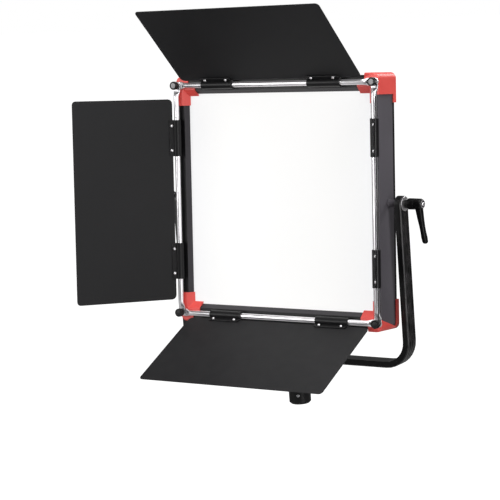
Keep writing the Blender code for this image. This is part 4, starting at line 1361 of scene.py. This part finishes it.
    def battery_plate(self) -> None:
        """Battery plate, its contact block with spring pins, and the release button."""
        self.soften("battery_plate", 0.0006, "black_plastic", "black_plastic")
        self.soften("battery_contacts", 0.0003, "black_plastic", "brass")
        low, high = local_box("battery_contacts", self.panel.matrix)
        middle = (low.z + high.z) / 2
        for index in range(5):
            place = self.panel.rearward((index - 2) * 0.0068, high.y, middle)
            pin = turned(filleted([(-0.0005, 0.0014), (0.0004, 0.0014), (0.0010, 0.0009), (0.0012, 0.0003)],
                                  0.0002, 3), 28)
            obj = mesh_object(f"battery_pin_{index + 1}", pin, place, self.palette["brass"])
            self.settle(obj, "head", "brass")
        low, high = local_box("battery_release", self.panel.matrix)
        centre = (low + high) / 2
        place = self.panel.rearward(centre.x, 0.0, centre.z)
        profile = [(low.y, 0.0062), (low.y + 0.0003, 0.0065), (high.y - 0.0008, 0.0065), (high.y, 0.0056),
                   (high.y, 0.0046), (high.y - 0.0006, 0.0030), (high.y - 0.0008, 0.0003)]
        release = turned(filleted(profile, 0.0003, 3), 56)
        self.stand_in("battery_release", release, place, "guard_red", "guard_red")


class InnerParts(Assembly):
    """Boards and heat sink that stay as the frame has them."""

    FINISHES = {"led_board": "circuit_board", "driver_board": "circuit_board", "control_board": "circuit_board",
                "heat_sink": "aluminium"}

    def build(self) -> None:
        """Dress the carried-over nodes."""
        for node, finish in self.FINISHES.items():
            self.dress(node, finish)


# ---------------------------------------------------------------- studio
@dataclass
class Studio:
    """Pale floor, soft lights and the camera."""

    effects: Effects
    floor_z: float = -1.2
    floor_size: float = 60.0
    sky: float = 0.16

    def build(self) -> None:
        """Set up everything round the light."""
        self.floor()
        self.world()
        self.lights()
        self.camera()

    def floor(self) -> None:
        """A wide pale floor well below the light."""
        bm = bmesh.new()
        bmesh.ops.create_grid(bm, x_segments=4, y_segments=4, size=self.floor_size / 2)
        desk = MaterialDesk("studio_floor", self.effects)
        tone = desk.effect(self.effects.tone, Dark=(0.50, 0.50, 0.50, 1), Light=(0.54, 0.54, 0.54, 1), Scale=0.4)
        desk.feed("Base Color", tone["Colour"])
        seen = desk.add("ShaderNodeLightPath").outputs["Is Camera Ray"]
        desk.feed("Emission Color", (1, 1, 1, 1))
        desk.feed("Emission Strength", seen)
        desk.feed("Roughness", desk.sum("ADD", desk.sum("MULTIPLY", tone["Mask"], 0.05), 0.85))
        desk.feed("Specular IOR Level", 0.1)
        floor = mesh_object("studio_floor", bm, Matrix.Translation((0, 0, self.floor_z)), desk.material)

    def world(self) -> None:
        """An even white surround."""
        world = bpy.data.worlds.new("studio_surround")
        world.use_nodes = True
        desk = NodeDesk(world.node_tree)
        seen = desk.add("ShaderNodeLightPath").outputs["Is Camera Ray"]
        strength = desk.sum("ADD", desk.sum("MULTIPLY", seen, 1 - self.sky), self.sky)
        shade = world.node_tree.nodes["Background"]
        shade.inputs["Color"].default_value = (1, 1, 1, 1)
        desk.tree.links.new(strength, shade.inputs["Strength"])
        bpy.context.scene.world = world
        bpy.context.scene.view_settings.view_transform = "Standard"

    def lights(self) -> None:
        """Large soft sources."""
        for name, spot, width, height, power in (
            ("key_light", (2.7, -1.9, 1.4), 1.0, 1.6, 46.0),
            ("strip_light", (2.9, -1.5, 0.2), 0.45, 2.4, 24.0),
            ("fill_light", (-1.9, -2.7, 0.9), 1.9, 1.6, 50.0),
            ("top_light", (0.2, -0.7, 2.4), 1.6, 1.6, 46.0),
            ("rear_light", (1.3, 2.7, 2.1), 1.6, 1.2, 70.0),
        ):
            light = bpy.data.lights.new(name, "AREA")
            light.shape = "RECTANGLE"
            light.size = width
            light.size_y = height
            light.energy = power
            obj = bpy.data.objects.new(name, light)
            bpy.context.scene.collection.objects.link(obj)
            obj.matrix_world = facing(Vector(spot) - Vector((0, 0, 0.3)), Vector(spot))

    def camera(self) -> None:
        """The camera, a long lens from the right and slightly above."""
        data = bpy.data.cameras.new("studio_camera")
        data.lens = 138.38
        data.sensor_width = 36.0
        data.clip_end = 200.0
        right = Vector((0.8307, 0.5519, -0.0733)).normalized()
        back = Vector((0.5559, -0.8149, 0.1639)).normalized()
        upward = back.cross(right).normalized()
        right = upward.cross(back)
        obj = bpy.data.objects.new("studio_camera", data)
        bpy.context.scene.collection.objects.link(obj)
        obj.matrix_world = axes(right, upward, back, Vector((1.5218, -2.3339, 0.6979)))
        bpy.context.scene.camera = obj


def main() -> None:
    logging.basicConfig(level=logging.INFO, format="%(name)s: %(message)s")
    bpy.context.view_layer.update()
    panel = PanelAxes.read()
    palette = Palette(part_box("diffuser")[1].x)
    assemblies = (Housing(palette, panel), BarnDoors(palette, panel), YokeAssembly(palette), TiltClamps(palette),
                  RearControls(palette, panel), InnerParts(palette))
    for assembly in assemblies:
        LOG.info("building %s", type(assembly).__name__)
        assembly.build()
    Studio(palette.effects).build()


if __name__ == "__main__":
    main()
